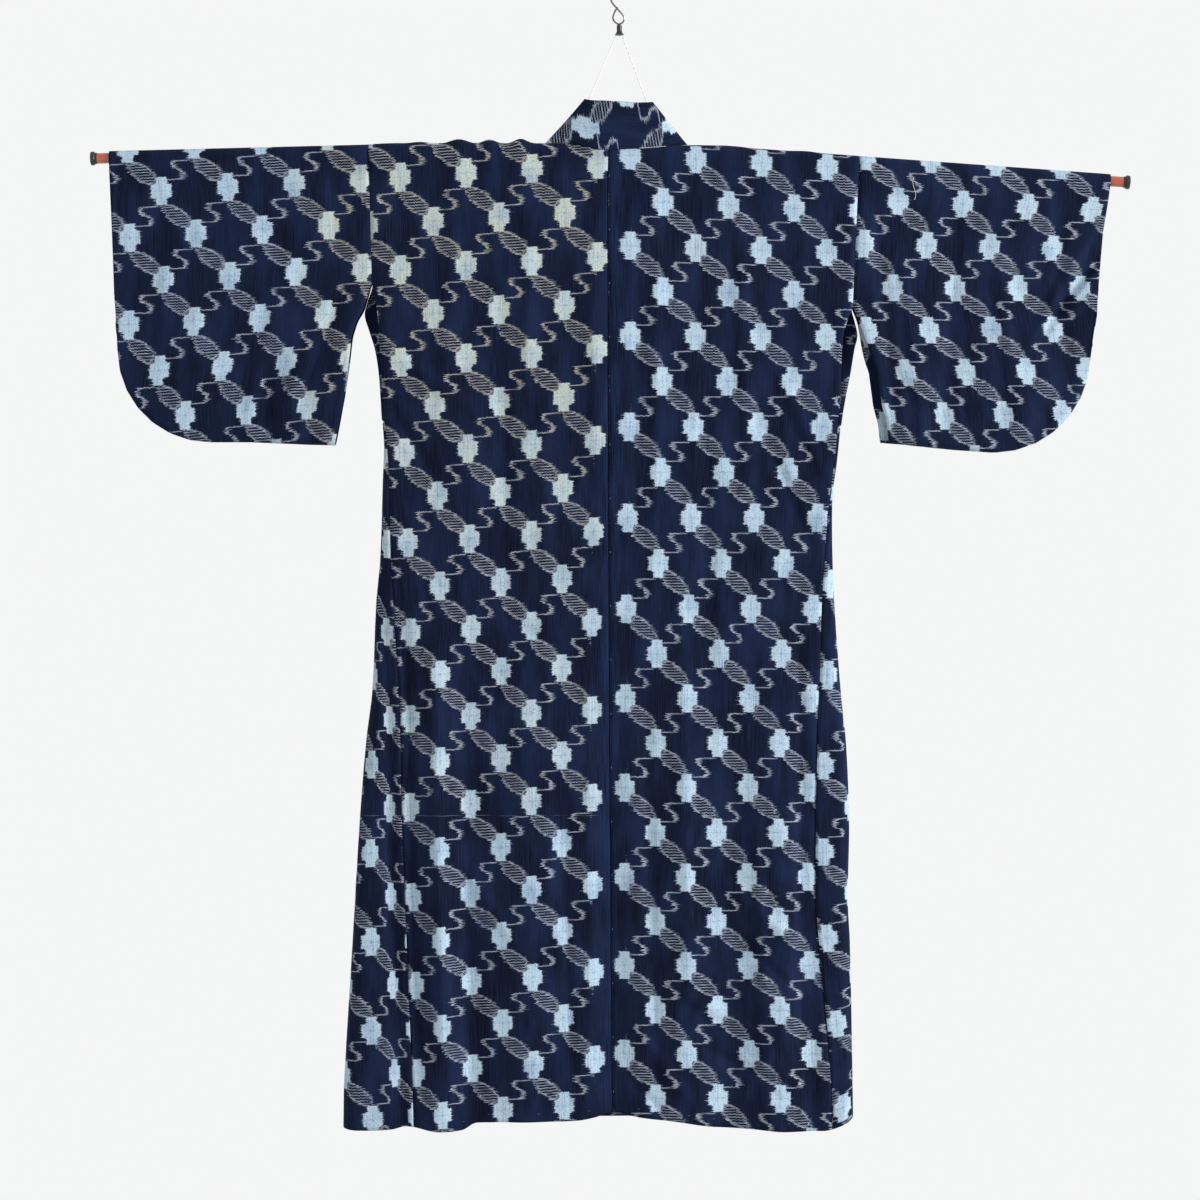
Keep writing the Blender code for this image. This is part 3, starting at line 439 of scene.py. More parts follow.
# %% Kasuri cotton
def kasuri_cotton(name, yellowed, turn, edge=0):
    """The cloth's finish. turn is -1 on the right half, where the leaves are turned half round.

    edge is 1 or -1 where the bolt's plain edge shows, on the flat cloth's right or left.
    """
    material, tree, shader = new_finish(name)
    uv = add(tree, "UVMap", uv_map="cloth")["UV"]
    flat = add(tree, "VectorMath", {0: uv, "Scale": 1000.0}, operation="SCALE")[0]
    grain, slip = thread_noises(tree, flat)
    flowers, hearts, leaves, frayed = figures(tree, flat, slip, turn)
    plain, leafy = plain_edge(tree, flat, edge)
    cloud_size = (1 / CLOUD_SIZE[0], 1 / CLOUD_SIZE[1], 1)
    cloud_grain = add(tree, "Mapping", {0: flat, "Scale": cloud_size})[0]
    cloud = add(tree, "TexNoise", {"Vector": cloud_grain, "Scale": 1.0, "Detail": 3.0})["Fac"]
    ground = dyed_ground(tree, cloud, grain["warp"], plain)
    age, line = old_cloth(tree, cloud, grain["weft"], yellowed, int(edge > 0))
    petals = petal_colour(tree, flat, age, grain["warp"], hearts)

    # Leaves and tendrils are drawn by the weft alone, so they are weak where its thread is
    weak = add(tree, "MapRange", {"Value": grain["end"], "From Min": 0.34, "From Max": 0.6,
                                  "To Min": 0.3, "To Max": 1.0})[0]
    leaves = add(tree, "Math", {0: leaves, 1: leafy}, operation="MULTIPLY")[0]
    leaves = add(tree, "Math", {0: leaves, 1: frayed}, operation="MAXIMUM")[0]
    leaf_ink = add(tree, "Math", {0: leaves, 1: weak}, operation="MULTIPLY")[0]
    leaf_ink = add(tree, "Math", {0: leaf_ink, 1: line}, operation="MAXIMUM")[0]
    leaf_tone = add(tree, "Mix", {0: age, 6: colour(LEAF_GREY), 7: colour(LEAF_BEIGE)},
                    data_type="RGBA")[2]
    with_leaves = add(tree, "Mix", {0: leaf_ink, 6: ground, 7: leaf_tone}, data_type="RGBA")[2]
    flower_ink = add(tree, "Math", {0: flowers, 1: FLOWER_SHOWS}, operation="MULTIPLY")[0]
    finished = add(tree, "Mix", {0: flower_ink, 6: with_leaves, 7: petals}, data_type="RGBA")[2]
    tree.links.new(finished, shader.inputs["Base Color"])

    # Relief: slubs in both threads, and the fine crinkle that washing leaves
    crinkle = add(tree, "TexNoise", {"Vector": flat, "Scale": 1 / 9, "Detail": 3.0})["Fac"]
    slubs = add(tree, "Math", {0: grain["weft"], 1: grain["warp"]}, operation="ADD")[0]
    relief_height = add(tree, "Math", {0: crinkle, 1: 2.2, 2: slubs}, operation="MULTIPLY_ADD")[0]
    bump = add(tree, "Bump", {"Height": relief_height, "Strength": 0.55, "Distance": 0.0004})[0]
    tree.links.new(bump, shader.inputs["Normal"])
    shader.inputs["Roughness"].default_value = 0.9
    shader.inputs["Specular IOR Level"].default_value = 0.08
    shader.inputs["Sheen Weight"].default_value = 0.02
    shader.inputs["Sheen Roughness"].default_value = 0.6
    shader.inputs["Sheen Tint"].default_value = colour(SHEEN)
    return material


COTTON = {"left": kasuri_cotton("indigo kasuri cotton", 0.15, 1),
          "right": kasuri_cotton("indigo kasuri cotton, turned", 0.15, -1)}
COTTON_SLEEVE = {"left": kasuri_cotton("indigo kasuri cotton, partly yellowed", 1.0, 1),
                 "right": COTTON["right"]}
COTTON_EDGED = {"left": kasuri_cotton("indigo kasuri cotton, yellowed", 1.0, 1, 1),
                "right": kasuri_cotton("indigo kasuri cotton, turned, plain edge", 0.1, -1, -1)}
print("cotton finishes ready")

# %% [markdown]
# ## Lines of the robe
# The cloth solids were lofted from a few lines of the garment, and the finished cloth follows
# the same lines, only with many more threads. Sizes are millimetres: x from the hook's
# line, and drop below the middle of the rod.

# %% Sizes shared with the solids
MM = 0.001
ROD_DROP = 211.5
HEM_DROP = 1217.0
# The solids stand 0.4 mm apart at their seams, and sewn cloth meets
SEAM_GAP = 0.04
SEAT_GAP = 0.7
CLOTH_WALL = 1.5
COLLAR_PROUD = 0.9
TUBE_RADIUS = 7.5
ARM_RADIUS = 6.6
EDGE_BEND = 14.0
EDGE_WRAP_SHARE = 0.7
SLIT_TURN = 30.0
TUCK_FROM = 12.0
TUCK_EASE = 24.0
SIDES = {"left": -1, "right": 1}
# Powers with which the rod's slope fades downwards and the hem's line comes in
SLOPE_FADE = 2
HEM_FADE = 6
FOLD_GROWTH = 1.4
ROD_LINE = (
    (-661.3, -8.6),
    (-279.9, 1.0),
    (-74.6, 0.7),
    (130.6, -2.0),
    (637.7, -38.6),
)
TUBE_SPAN = (-279.9, 130.6)
TUBE_EASE_START = 12.0
TUBE_EASE = 28.0
print("robe is", HEM_DROP, "mm from rod to hem")

# %% Depth and long folds of the two layers
LAYER_DEPTH = (
    (0, 0.0, 0.0),
    (163, 2.4, 2.4),
    (500, 7.0, 5.0),
    (900, 13.0, 8.0),
    (1217, 18.0, 10.0),
)
BACK_FOLDS = (
    (-236, -224, 350, 34, 7.0),
    (-192, -178, 450, 20, -5.0),
    (-120, -118, 300, 45, 5.0),
    (-14, -9, 500, 42, -7.0),
    (76, 84, 300, 40, 4.0),
    (140, 136, 500, 25, -4.0),
    (190, 200, 400, 38, 7.0),
    (236, 240, 600, 16, -4.0),
)
FRONT_FOLDS = (
    (-230, -280, 450, 34, 5.0),
    (-160, -190, 400, 30, -5.0),
    (-100, -120, 450, 40, 6.0),
    (70, 70, 400, 32, 6.0),
    (130, 150, 450, 34, -5.0),
    (200, 215, 500, 34, 6.0),
)
LAP = {"left": 5.0, "right": -3.0}
LAP_WIDTH = 60.0
LAP_DROPS = (230.0, 350.0, 1000.0, 1150.0)
print("long folds:", len(BACK_FOLDS), "behind,", len(FRONT_FOLDS), "in front")


# %% Reading a line of the robe
def ease(value):
    """Zero to one with soft ends."""
    value = min(max(value, 0.0), 1.0)
    return value * value * (3 - 2 * value)


def between(low, high, share):
    return low + (high - low) * share


def straight(table, at, column=1):
    """A column of a table at a place in its first column, on straight lines."""
    for low, high in zip(table, table[1:]):
        if at <= high[0]:
            share = min(max((at - low[0]) / (high[0] - low[0]), 0.0), 1.0)
            return between(low[column], high[column], share)
    return table[-1][column]


def smooth(table, at, column=1):
    """The same on a smooth line through the rows."""
    at = min(max(at, table[0][0]), table[-1][0])
    index = max(i for i in range(len(table) - 1) if table[i][0] <= at)
    before = table[max(index - 1, 0)]
    low = table[index]
    high = table[index + 1]
    after = table[min(index + 2, len(table) - 1)]
    span = high[0] - low[0]
    share = (at - low[0]) / span
    low_slope = (high[column] - before[column]) / (high[0] - before[0]) * span
    high_slope = (after[column] - low[column]) / (after[0] - low[0]) * span
    return (low[column] * (2 * share ** 3 - 3 * share ** 2 + 1)
            + low_slope * (share ** 3 - 2 * share ** 2 + share)
            + high[column] * (3 * share ** 2 - 2 * share ** 3)
            + high_slope * (share ** 3 - share ** 2))


def along(points, share):
    """The point at a share of a plan line's length."""
    lengths = [math.dist(a, b) for a, b in zip(points, points[1:])]
    target = share * sum(lengths)
    for start, end, length in zip(points, points[1:], lengths):
        if target <= length:
            part = target / length
            return tuple(between(a, b, part) for a, b in zip(start, end))
        target -= length
    return points[-1]


def place(x, y, drop):
    """Millimetres from the hook's line and below the rod, to metres from the hook."""
    return Vector((x, y, -ROD_DROP - drop)) * MM


print("readers ready")


# %% Cloth over the rod, and the layers below it
def rod_rise(x):
    return straight(ROD_LINE, x)


def bend_radius(x):
    """Outer radius of the cloth where it passes over the rod."""
    past_tube = max(TUBE_SPAN[0] - x, x - TUBE_SPAN[1]) - TUBE_EASE_START
    rod_radius = between(TUBE_RADIUS, ARM_RADIUS, ease(past_tube / TUBE_EASE))
    return rod_radius + SEAT_GAP + CLOTH_WALL


def fold_height(folds, x, drop, hem_drop=HEM_DROP):
    """Sum of the folds at a place: each grows from where it begins down to the hem."""
    height = 0.0
    for top_x, hem_x, begin, half_width, tall in folds:
        centre = between(top_x, hem_x, drop / hem_drop)
        off = abs(x - centre) / half_width
        if off < 1 and drop > begin:
            grown = ease((drop - begin) / (hem_drop - begin) * FOLD_GROWTH)
            height += tall * grown * math.cos(off * math.pi / 2) ** 2
    return height


def back_y(x, drop):
    depth = smooth(LAYER_DEPTH, drop, 1) + fold_height(BACK_FOLDS, x, drop)
    return -bend_radius(x) - depth


def lap_lift(side, x, drop):
    """Lift of a front where left lies over right, near the middle of the robe."""
    outward = SIDES[side] * x
    rise_from, rise_to, fall_from, fall_to = LAP_DROPS
    grown = ease((drop - rise_from) / (rise_to - rise_from))
    grown *= 1 - ease((drop - fall_from) / (fall_to - fall_from))
    return LAP[side] * grown * ease((LAP_WIDTH - outward) / LAP_WIDTH)


def front_y(side, x, drop):
    depth = smooth(LAYER_DEPTH, drop, 2) + fold_height(FRONT_FOLDS, x, drop)
    return bend_radius(x) + depth + lap_lift(side, x, drop)


def settled(x, drop, hem):
    """Real drop of a level: it follows the rod's slope at the top and the hem's line at the end."""
    share = drop / HEM_DROP
    return drop - rod_rise(x) * (1 - share) ** SLOPE_FADE + (hem - HEM_DROP) * share ** HEM_FADE


print("cloth stands", round(bend_radius(0), 1), "mm from the middle of the rod")

# %% [markdown]
# ## Creases
# Worn cotton keeps soft creases where it was folded, pulled or gathered. Each is one line in a table:
# where it starts and ends, half its width, and its height, which is less than nothing for a
# trough. They fade out at both ends, at the seams and at the edges. Smooth noise adds the
# slight unevenness that no flat cloth is without.

# %% Crease tables
BACK_CREASES = (
    (-300, 350, -262, 700, 9, -6.0),
    (-268, 560, -250, 1210, 12, -7.5),
    (-232, 620, -215, 1215, 15, 6.0),
    (-196, 700, -186, 1215, 11, -3.5),
    (-300, 300, -220, 420, 12, -4.0),
    (-290, 250, -170, 330, 13, 3.4),
    (-205, 30, -222, 420, 17, 2.8),
    (-150, 150, -140, 640, 15, -3.2),
    (-112, 60, -118, 380, 12, 2.2),
    (-95, 300, -88, 1000, 13, 3.4),
    (-70, 820, -60, 1200, 11, -4.0),
    (-200, 880, -120, 1000, 11, 3.0),
    (-160, 560, -60, 640, 12, -2.4),
    (-34, 20, -30, 520, 10, 2.2),
    (-40, 560, -36, 1190, 11, 2.6),
    (24, 60, 18, 480, 9, -2.0),
    (48, 40, 42, 600, 12, 2.8),
    (30, 650, 46, 1200, 12, -4.0),
    (78, 560, 84, 1060, 13, 3.0),
    (105, 200, 112, 820, 15, -3.4),
    (150, 60, 160, 420, 14, 3.2),
    (200, 280, 262, 420, 11, 4.0),
    (170, 330, 250, 520, 12, -4.0),
    (222, 480, 226, 1180, 12, -4.6),
    (168, 760, 182, 1210, 14, 4.6),
    (60, 1040, 200, 1110, 11, 3.6),
    (90, 1110, 230, 1170, 10, -4.0),
    (110, 900, 240, 1000, 12, 3.4),
    (130, 960, 232, 1060, 9, -3.0),
    (70, 1090, 130, 1010, 9, -3.0),
    (150, 1180, 205, 1090, 9, 3.4),
    (20, 1085, 90, 1190, 11, 3.4),
    (10, 1150, 60, 1205, 9, -3.0),
)
FRONT_CREASES = (
    (-250, 60, -200, 500, 20, 4.0),
    (-130, 250, -160, 1100, 18, -5.0),
    (-60, 300, -30, 1150, 16, 4.0),
    (90, 200, 110, 900, 18, -4.5),
    (180, 100, 230, 700, 20, 4.0),
    (150, 750, 240, 1150, 16, -4.0),
    (20, 700, 60, 1180, 16, 4.0),
    (-230, 700, -290, 1190, 18, -4.0),
)
SLEEVE_CREASES = (
    (-338, 150, -415, 360, 13, -5.5),
    (-352, 240, -372, 366, 9, 5.5),
    (-362, 215, -446, 366, 10, 4.0),
    (-400, 90, -470, 362, 14, 3.6),
    (-445, 240, -436, 364, 11, -5.0),
    (-520, 40, -530, 330, 17, 3.0),
    (-575, 60, -590, 320, 15, -3.6),
    (-360, 10, -352, 180, 12, -2.6),
    (600, 128, 520, 238, 9, -7.0),
    (592, 92, 500, 262, 11, 4.5),
    (604, 168, 548, 214, 8, 4.0),
    (318, 60, 345, 360, 11, -4.5),
    (352, 120, 380, 372, 12, 4.5),
    (330, 240, 372, 330, 9, -3.5),
    (420, 60, 405, 372, 15, -3.6),
    (470, 90, 500, 360, 16, 3.4),
    (545, 60, 560, 320, 13, -3.4),
)
# How a crease rises from its ends: the lower, the sooner it has its full height
CREASE_RISE = 0.7
# Creases die out this near a seam and this near the rod, and the seam itself lies a little deeper
SEAM_CALM, RIDGE_CALM, SLEEVE_RIDGE_CALM = 14.0, 60.0, 40.0
SEAM_DIP, SEAM_DIP_WIDTH = 1.2, 4.5
# Unevenness: height, width and length of the broad waves and of the small ones
BROAD_WAVE, SMALL_WAVE = (2.0, 60, 150), (0.9, 17, 30)
# Puffs of the left shoulder's top edge beside the collar: x, half width, height
SHOULDER_PUFFS = ((-201, 22, 5.0), (-163, 17, 4.6), (-124, 17, 5.6), (-250, 20, 1.5), (232, 26, 1.2))
PUFF_FADE, PUFF_BEHIND = 70.0, 0.6


# %% Height of the creases at a place
def crease_height(creases, x, drop):
    """Sum of the listed creases."""
    height = 0.0
    for from_x, from_drop, to_x, to_drop, half_width, tall in creases:
        run_x, run_drop = to_x - from_x, to_drop - from_drop
        length = math.hypot(run_x, run_drop)
        share = ((x - from_x) * run_x + (drop - from_drop) * run_drop) / length ** 2
        off = abs((x - from_x) * run_drop - (drop - from_drop) * run_x) / length / half_width
        if 0 < share < 1 and off < 1:
            height += tall * math.cos(off * math.pi / 2) ** 2 * math.sin(math.pi * share) ** CREASE_RISE
    return height


def unevenness(x, drop, layer):
    """Broad waves and small crinkles that the cloth keeps. Each layer has its own."""
    return sum(height * noise.noise(Vector((x / width, drop / length, layer + index * 9)))
               for index, (height, width, length) in enumerate((BROAD_WAVE, SMALL_WAVE)))


# Where each layer of cloth lies in the noise
BACK_LAYER, FRONT_LAYER, SLEEVE_LAYER = 0, 20, 40


def relief(creases, layer, x, drop, *edges):
    """Creases, unevenness and the dip at each seam, for a place so far from the panel's edges."""
    near = max(min(edges), 0.0)
    calm = ease(near / SEAM_CALM)
    dip = SEAM_DIP * max(1 - near / SEAM_DIP_WIDTH, 0.0) ** 2
    return (crease_height(creases, x, drop) + unevenness(x, drop, layer)) * calm - dip


def puff(x):
    """How far the top edge stands up beside the collar."""
    return sum(tall * math.cos(max(min((x - middle) / half_width, 1), -1) * math.pi / 2) ** 2
               for middle, half_width, tall in SHOULDER_PUFFS)


print("creases:", len(BACK_CREASES) + len(FRONT_CREASES) + len(SLEEVE_CREASES))

# %% [markdown]
# ## Weaving a sheet
# A cloth piece starts as a flat grid, one crossing for every few threads. Each crossing is then moved
# to its place on the robe, and each face corner keeps where it lay on the flat cloth, so the
# pattern follows the folds. Simulated cloth would hang differently with each run; a grid moved by
# listed creases keeps the folds where the robe has them. Solidify gives the wall, inwards.

# %% Sheet helper
VISIBLE_WALL = 0.8


def woven_sheet(name, rows, flat_place, finish, wall=VISIBLE_WALL, closed=False):
    """A sheet through rows of points. flat_place gives a corner's place on the flat cloth."""
    across, down = len(rows[0]) - 1, len(rows) - 1
    bm = bmesh.new()
    flat_map = bm.loops.layers.uv.new("cloth")
    bmesh.ops.create_grid(bm, x_segments=across, y_segments=down, size=1)
    crossing = {}
    for vert in bm.verts:
        row, column = round((vert.co.y + 1) / 2 * down), round((vert.co.x + 1) / 2 * across)
        crossing[vert] = (row, column)
        vert.co = rows[row][column]
    for face in bm.faces:
        first_row = min(crossing[vert][0] for vert in face.verts)
        for loop in face.loops:
            row, column = crossing[loop.vert]
            loop[flat_map].uv = [value * MM for value in flat_place(row, column, first_row)]
        face.smooth = True
    if closed:
        ends = [vert for vert in bm.verts if crossing[vert][0] in (0, down)]
        bmesh.ops.remove_doubles(bm, verts=ends, dist=1e-6)
    bm.normal_update()
    outward = sum(face.normal.y * face.calc_center_median().y * face.calc_area() for face in bm.faces)
    if outward < 0:
        bmesh.ops.reverse_faces(bm, faces=bm.faces)
    piece = bpy.data.objects.new(name, bpy.data.meshes.new(name))
    bm.to_mesh(piece.data)
    bm.free()
    piece.data.materials.append(finish)
    bpy.context.scene.collection.objects.link(piece)
    thicken = piece.modifiers.new("cloth wall", "SOLIDIFY")
    thicken.thickness = wall * MM
    thicken.offset = -1
    print(name, "is", across, "x", down, "crossings")
    return piece


def cotton_piece(piece, flat, rests_on, *solids, area=None):
    """Attaches a cloth piece and hides the solids it stands for; the size it was cut to is not used."""
    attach(piece, "root")
    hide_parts(*solids)


# %% [markdown]
# ## Where the pattern lies
# The figure keeps its place on the bolt, not on the robe: each body panel goes over the shoulder in
# one length, so its flowers come down the front upside down. Each table says where the
# flower columns and rows lie, as read off the robe.

# %% Pattern places
# Columns: drop, x of the first column, pitch. Rows: drop, row number. Slant: drop, fall per width
PATTERN = {
    "body_left": {
        "columns": ((0, -27.0, 82.3), (250, -28.5, 81.5), (590, -35.0, 75.0), (900, -34.0, 76.0),
                    (1130, -31.0, 76.0)),
        "rows": ((17, 0), (248, 2), (588, 5), (914, 8), (1130, 10)),
        "slant": ((0, 0.066), (300, 0.066), (600, 0.055), (750, 0.045), (900, 0.065), (1000, 0.075)),
        "front_rows": ((0, 0), (494, 4.47), (1152, 10.47)),
        "front_edge": ((0, 3.48), (337, 3.2), (494, 3.0), (824, 3.15), (1152, 3.3)),
    },
    "body_right": {
        "columns": ((0, 12.9, 82.0), (250, 13.0, 81.0), (560, 8.0, 77.5), (700, 6.5, 77.0),
                    (900, 5.5, 76.0), (1130, 5.5, 77.5)),
        "rows": ((6, 0), (231, 2), (571, 5), (904, 8), (1123, 10)),
        "slant": ((0, 0.06), (150, 0.03), (250, 0.0)),
        "front_rows": ((0, 0), (752, 6.57), (1182, 10.57)),
        "front_edge": ((0, 3.48), (337, 3.2), (752, 3.1), (1182, 3.17)),
    },
    "sleeve_left": {
        "columns": ((35, -323.0, 83.0), (145, -320.0, 82.8), (211, -327.0, 81.5),
                    (261, -336.0, 79.0), (320, -352.0, 76.0)),
        "rows": ((35, 0), (146, 1), (257.5, 2), (314, 2.5)),
        "slant": ((0, 0.061), (145, 0.061), (211, 0.05), (320, 0.083)),
    },
    "sleeve_right": {
        "columns": ((63, 347.0, 81.0), (118, 343.0, 78.5), (170, 339.5, 77.8), (224, 347.0, 77.4),
                    (276, 356.0, 75.0), (331, 368.5, 73.6)),
        "rows": ((63, 0), (171, 1), (276.5, 2), (331, 2.5)),
        "slant": ((63, 0.047), (170, 0.0), (331, -0.02)),
    },
}
FRONT_PITCH = 80.0
# Beside the left side seam the front is drawn in: how much cloth goes into that fold, over what
# width, and the share of it that lies before the fold
GATHER, GATHER_OVER, GATHER_BEFORE = 26.0, 40.0, 0.45
# Low on the left back the outer flowers stand closer: from this drop and column on, over this much
SQUEEZE_DROP, SQUEEZE_DROP_EASE = 880.0, 100.0
SQUEEZE_COLUMN, SQUEEZE_COLUMN_EASE, SQUEEZE = 2.3, 0.9, 0.12


def read_on(table, at):
    """A table's second column, carried on past both its ends."""
    low, high = table[:2] if at < table[0][0] else table[-2:]
    if table[0][0] <= at <= table[-1][0]:
        return straight(table, at)
    return between(low[1], high[1], (at - low[0]) / (high[0] - low[0]))


def lattice(name, x, drop):
    """Column and row of the flower lattice at a place on a back layer."""
    table = PATTERN[name]
    out = -1 if name.endswith("left") else 1
    away = out * (x - straight(table["columns"], drop))
    column = away / straight(table["columns"], drop, 2)
    row = read_on(table["rows"], drop - straight(table["slant"], drop) * away)
    return column, row


def on_cloth(name, column, row):
    """Lattice counts as millimetres on the cloth. Columns are counted outwards from the middle seam."""
    out = -1 if name.endswith("left") else 1
    return out * REPEAT[0] * column, REPEAT[1] * row


print("pattern tables:", ", ".join(PATTERN))

# %% [markdown]
# ## Body panels
# Each panel is one length of the bolt, about 30 cm wide and 2.4 m long. From its hem it goes up the
# back, over the rod and down the front. At the side the front wraps a little round the
# outline, because the front is wider than the back there.

# %% Lines of the body
SIDE_EDGES = {
    "left": (
        (-8, -313.5, -313.5),
        (163, -309.1, -309.1),
        (187, -304.8, -316.0),
        (203, -302.3, -319.5),
        (224, -300.4, -313.5),
        (246, -299.2, -306.6),
        (275, -297.3, -301.5),
        (309, -295.4, -298.4),
        (337, -293.0, -296.5),
        (366, -289.9, -294.6),
        (411, -287.4, -296.1),
        (510, -284.9, -299.4),
        (560, -282.4, -304.2),
        (672, -275.5, -309.1),
        (734, -273.1, -316.6),
        (834, -271.2, -324.7),
        (990, -265.0, -333.9),
        (1161, -258.0, -344.0),
        (1217, -256.3, -345.0),
    ),
    "right": (
        (5, 298.6, 298.6),
        (195, 289.9, 289.9),
        (212, 283.6, 294.0),
        (229, 278.7, 297.4),
        (246, 276.8, 293.6),
        (275, 275.5, 288.6),
        (304, 274.3, 282.4),
        (337, 271.8, 276.4),
        (383, 267.5, 271.5),
        (435, 260.6, 265.6),
        (485, 256.3, 265.0),
        (560, 251.3, 267.5),
        (672, 248.1, 275.5),
        (734, 245.7, 281.9),
        (834, 243.6, 286.1),
        (938, 243.6, 284.5),
        (990, 247.6, 287.0),
        (1148, 261.9, 289.9),
        (1217, 263.8, 290.9),
    ),
}
SLEEVE_SEAM_END = {"left": 163, "right": 184}
SIDE_SEAM_TOP = 337
BACK_SEAM = ((0, -14.3), (600, -12.6), (1217, -8.7))
COLLAR_FOOT = {
    "left": ((0, -93.5), (203, -78.4), (607, -51.0)),
    "right": ((0, 85.8), (203, 66.0), (607, 20.0)),
}
OKUMI_SEAM = {
    "left": ((203, -78.4), (1217, -205.0)),
    "right": ((203, 66.0), (1217, 112.0)),
}
BACK_HEM = (
    (-345, 1216), (-326, 1218), (-287, 1217), (-262, 1213), (-226, 1219), (-195, 1217),
    (-179, 1209), (-112, 1207), (-58, 1206), (-32, 1202), (-9, 1196), (25, 1202),
    (72, 1207), (114, 1213), (162, 1216), (200, 1219), (234, 1219), (257, 1218),
    (276, 1212), (291, 1203),
)
FRONT_HEM = 1207.0
# Neck edge round the rod: angle of the bend in degrees, x on the left, x on the right
NECK_LINE = (
    (0, -14.3, -14.3), (14, -14.2, -14.2), (30, -37.0, 32.0), (50, -56.0, 62.0), (70, -74.0, 76.0),
    (90, -90.0, 83.0), (120, -95.0, 85.6), (150, -94.5, 86.0), (180, -93.5, 85.8),
)
NECK_COLUMN = {"left": 1, "right": 2}
SHOULDER_ANGLES = (7, 14, 22, 30, 40, 50, 60, 70, 80, 90, 105, 120, 135, 150, 165)
PANEL_COLUMNS = 58
EASE_STEPS = 6
BEND_STEPS = 12
SECTION_STEPS = 24
THREAD_STEP = 5.0
row_count = round(HEM_DROP / THREAD_STEP)
PANEL_LEVELS = [HEM_DROP * step / row_count for step in range(row_count + 1)]
HEM_TURN, HEM_TURN_DEPTH, HEM_TURN_WIDTH = 9.0, 0.9, 1.8
# The middle seam is pressed to one side, so its right edge lies over its left one: how deep each
# edge lies, and how far it reaches past the seam's line
PRESSED = {"left": 0.8, "right": -0.5}
PRESSED_LAP = {"left": 0.0, "right": -0.6}
# The fold beside the left side seam: distance from the seam, half width, depth, drops it grows over
SIDE_FOLD = (13.0, 12.0, 5.0, 430.0, 180.0)
print("rows down a panel:", 2 * len(PANEL_LEVELS) + len(SHOULDER_ANGLES))


# %% Rows of the body
def side_edge(side, drop, column):
    """Edge of the back panel (1) or of the front panel (2) at a level."""
    table = SIDE_EDGES[side]
    at = settled(table[0][1], drop, HEM_DROP)
    read = straight if drop <= SLEEVE_SEAM_END[side] else smooth
    return read(table, at, column)


def hem_stitch(drop, hem):
    """Dip along the line where the turned hem is sewn up."""
    return HEM_TURN_DEPTH * math.exp(-((drop - hem + HEM_TURN) / HEM_TURN_WIDTH) ** 2)


def back_row(side, drop):
    """Back panel at a level, from the side edge to the seam down the middle."""
    out = SIDES[side]
    edge = side_edge(side, drop, 1) - out * SEAM_GAP / 2
    middle = smooth(BACK_SEAM, drop) + PRESSED_LAP[side]
    row = []
    for column in range(PANEL_COLUMNS + 1):
        x = between(edge, middle, column / PANEL_COLUMNS)
        real = settled(x, drop, smooth(BACK_HEM, x))
        lift = relief(BACK_CREASES, BACK_LAYER, x, real, abs(x - edge), abs(x - middle))
        lift -= PRESSED[side] * max(1 - abs(x - middle) / SEAM_DIP_WIDTH, 0) ** 2
        lift = lift * ease(real / RIDGE_CALM) - hem_stitch(real, smooth(BACK_HEM, x))
        lift += PUFF_BEHIND * puff(x) * (1 - ease(real / PUFF_FADE))
        row.append(place(x, back_y(x, drop) - lift, real))
    return row


def front_inner_edge(side, drop):
    """Where the front panel ends: at the collar's foot, then at the overlap strip's seam."""
    first = OKUMI_SEAM[side][0][0]
    table = COLLAR_FOOT[side] if drop < first else OKUMI_SEAM[side]
    return smooth(table, drop)


def front_section(side, drop):
    """Line of the front panel at a level, as x, y points from its side edge inwards.

    Below the side seam it starts on the back, wraps round the outline and runs back in front. Where
    the wrap is narrow it starts a wall deeper, clear of the back panel's edge.
    """
    out = SIDES[side]
    seam = side_edge(side, drop, 1) + out * SEAM_GAP / 2
    outline = side_edge(side, drop, 2)
    narrow = 1 - ease((abs(outline - seam) - TUCK_FROM) / TUCK_EASE)
    back = back_y(seam, drop) + (CLOTH_WALL + SEAM_GAP) * narrow
    front = front_y(side, outline, drop)
    points = []
    if drop < SIDE_SEAM_TOP:
        sleeve_end = SLEEVE_SEAM_END[side]
        if drop <= sleeve_end:
            outline -= out * SEAM_GAP / 2
        closing = ease((drop - sleeve_end) / (SIDE_SEAM_TOP - sleeve_end)) ** 2
        edge = between(front, back, closing)
        for step in range(EASE_STEPS + 1):
            x = outline - out * SLIT_TURN * step / EASE_STEPS
            points.append((x, between(edge, front, ease(step / EASE_STEPS))))
        start = points[-1][0]
    else:
        bend = min(EDGE_WRAP_SHARE * abs(outline - seam), EDGE_BEND)
        start = outline - out * bend
        for step in range(EASE_STEPS):
            points.append((between(seam, start, step / EASE_STEPS), back))
        for step in range(BEND_STEPS + 1):
            angle = math.pi * (step / BEND_STEPS - 0.5)
            middle = (front + back) / 2
            points.append((start + out * bend * math.cos(angle),
                           middle + (front - back) / 2 * math.sin(angle)))
    end = front_inner_edge(side, drop) + out * SEAM_GAP / 2
    for step in range(1, SECTION_STEPS + 1):
        x = between(start, end, step / SECTION_STEPS)
        points.append((x, front_y(side, x, drop)))
    return points


def side_fold(side, from_seam, drop):
    """Depth of the fold that draws the front in beside the left side seam."""
    middle, half_width, depth, start, growth = SIDE_FOLD
    off = (from_seam - middle) / half_width
    if side == "right" or abs(off) >= 1:
        return 0.0
    return depth * math.cos(off * math.pi / 2) ** 2 * ease((drop - start) / growth)


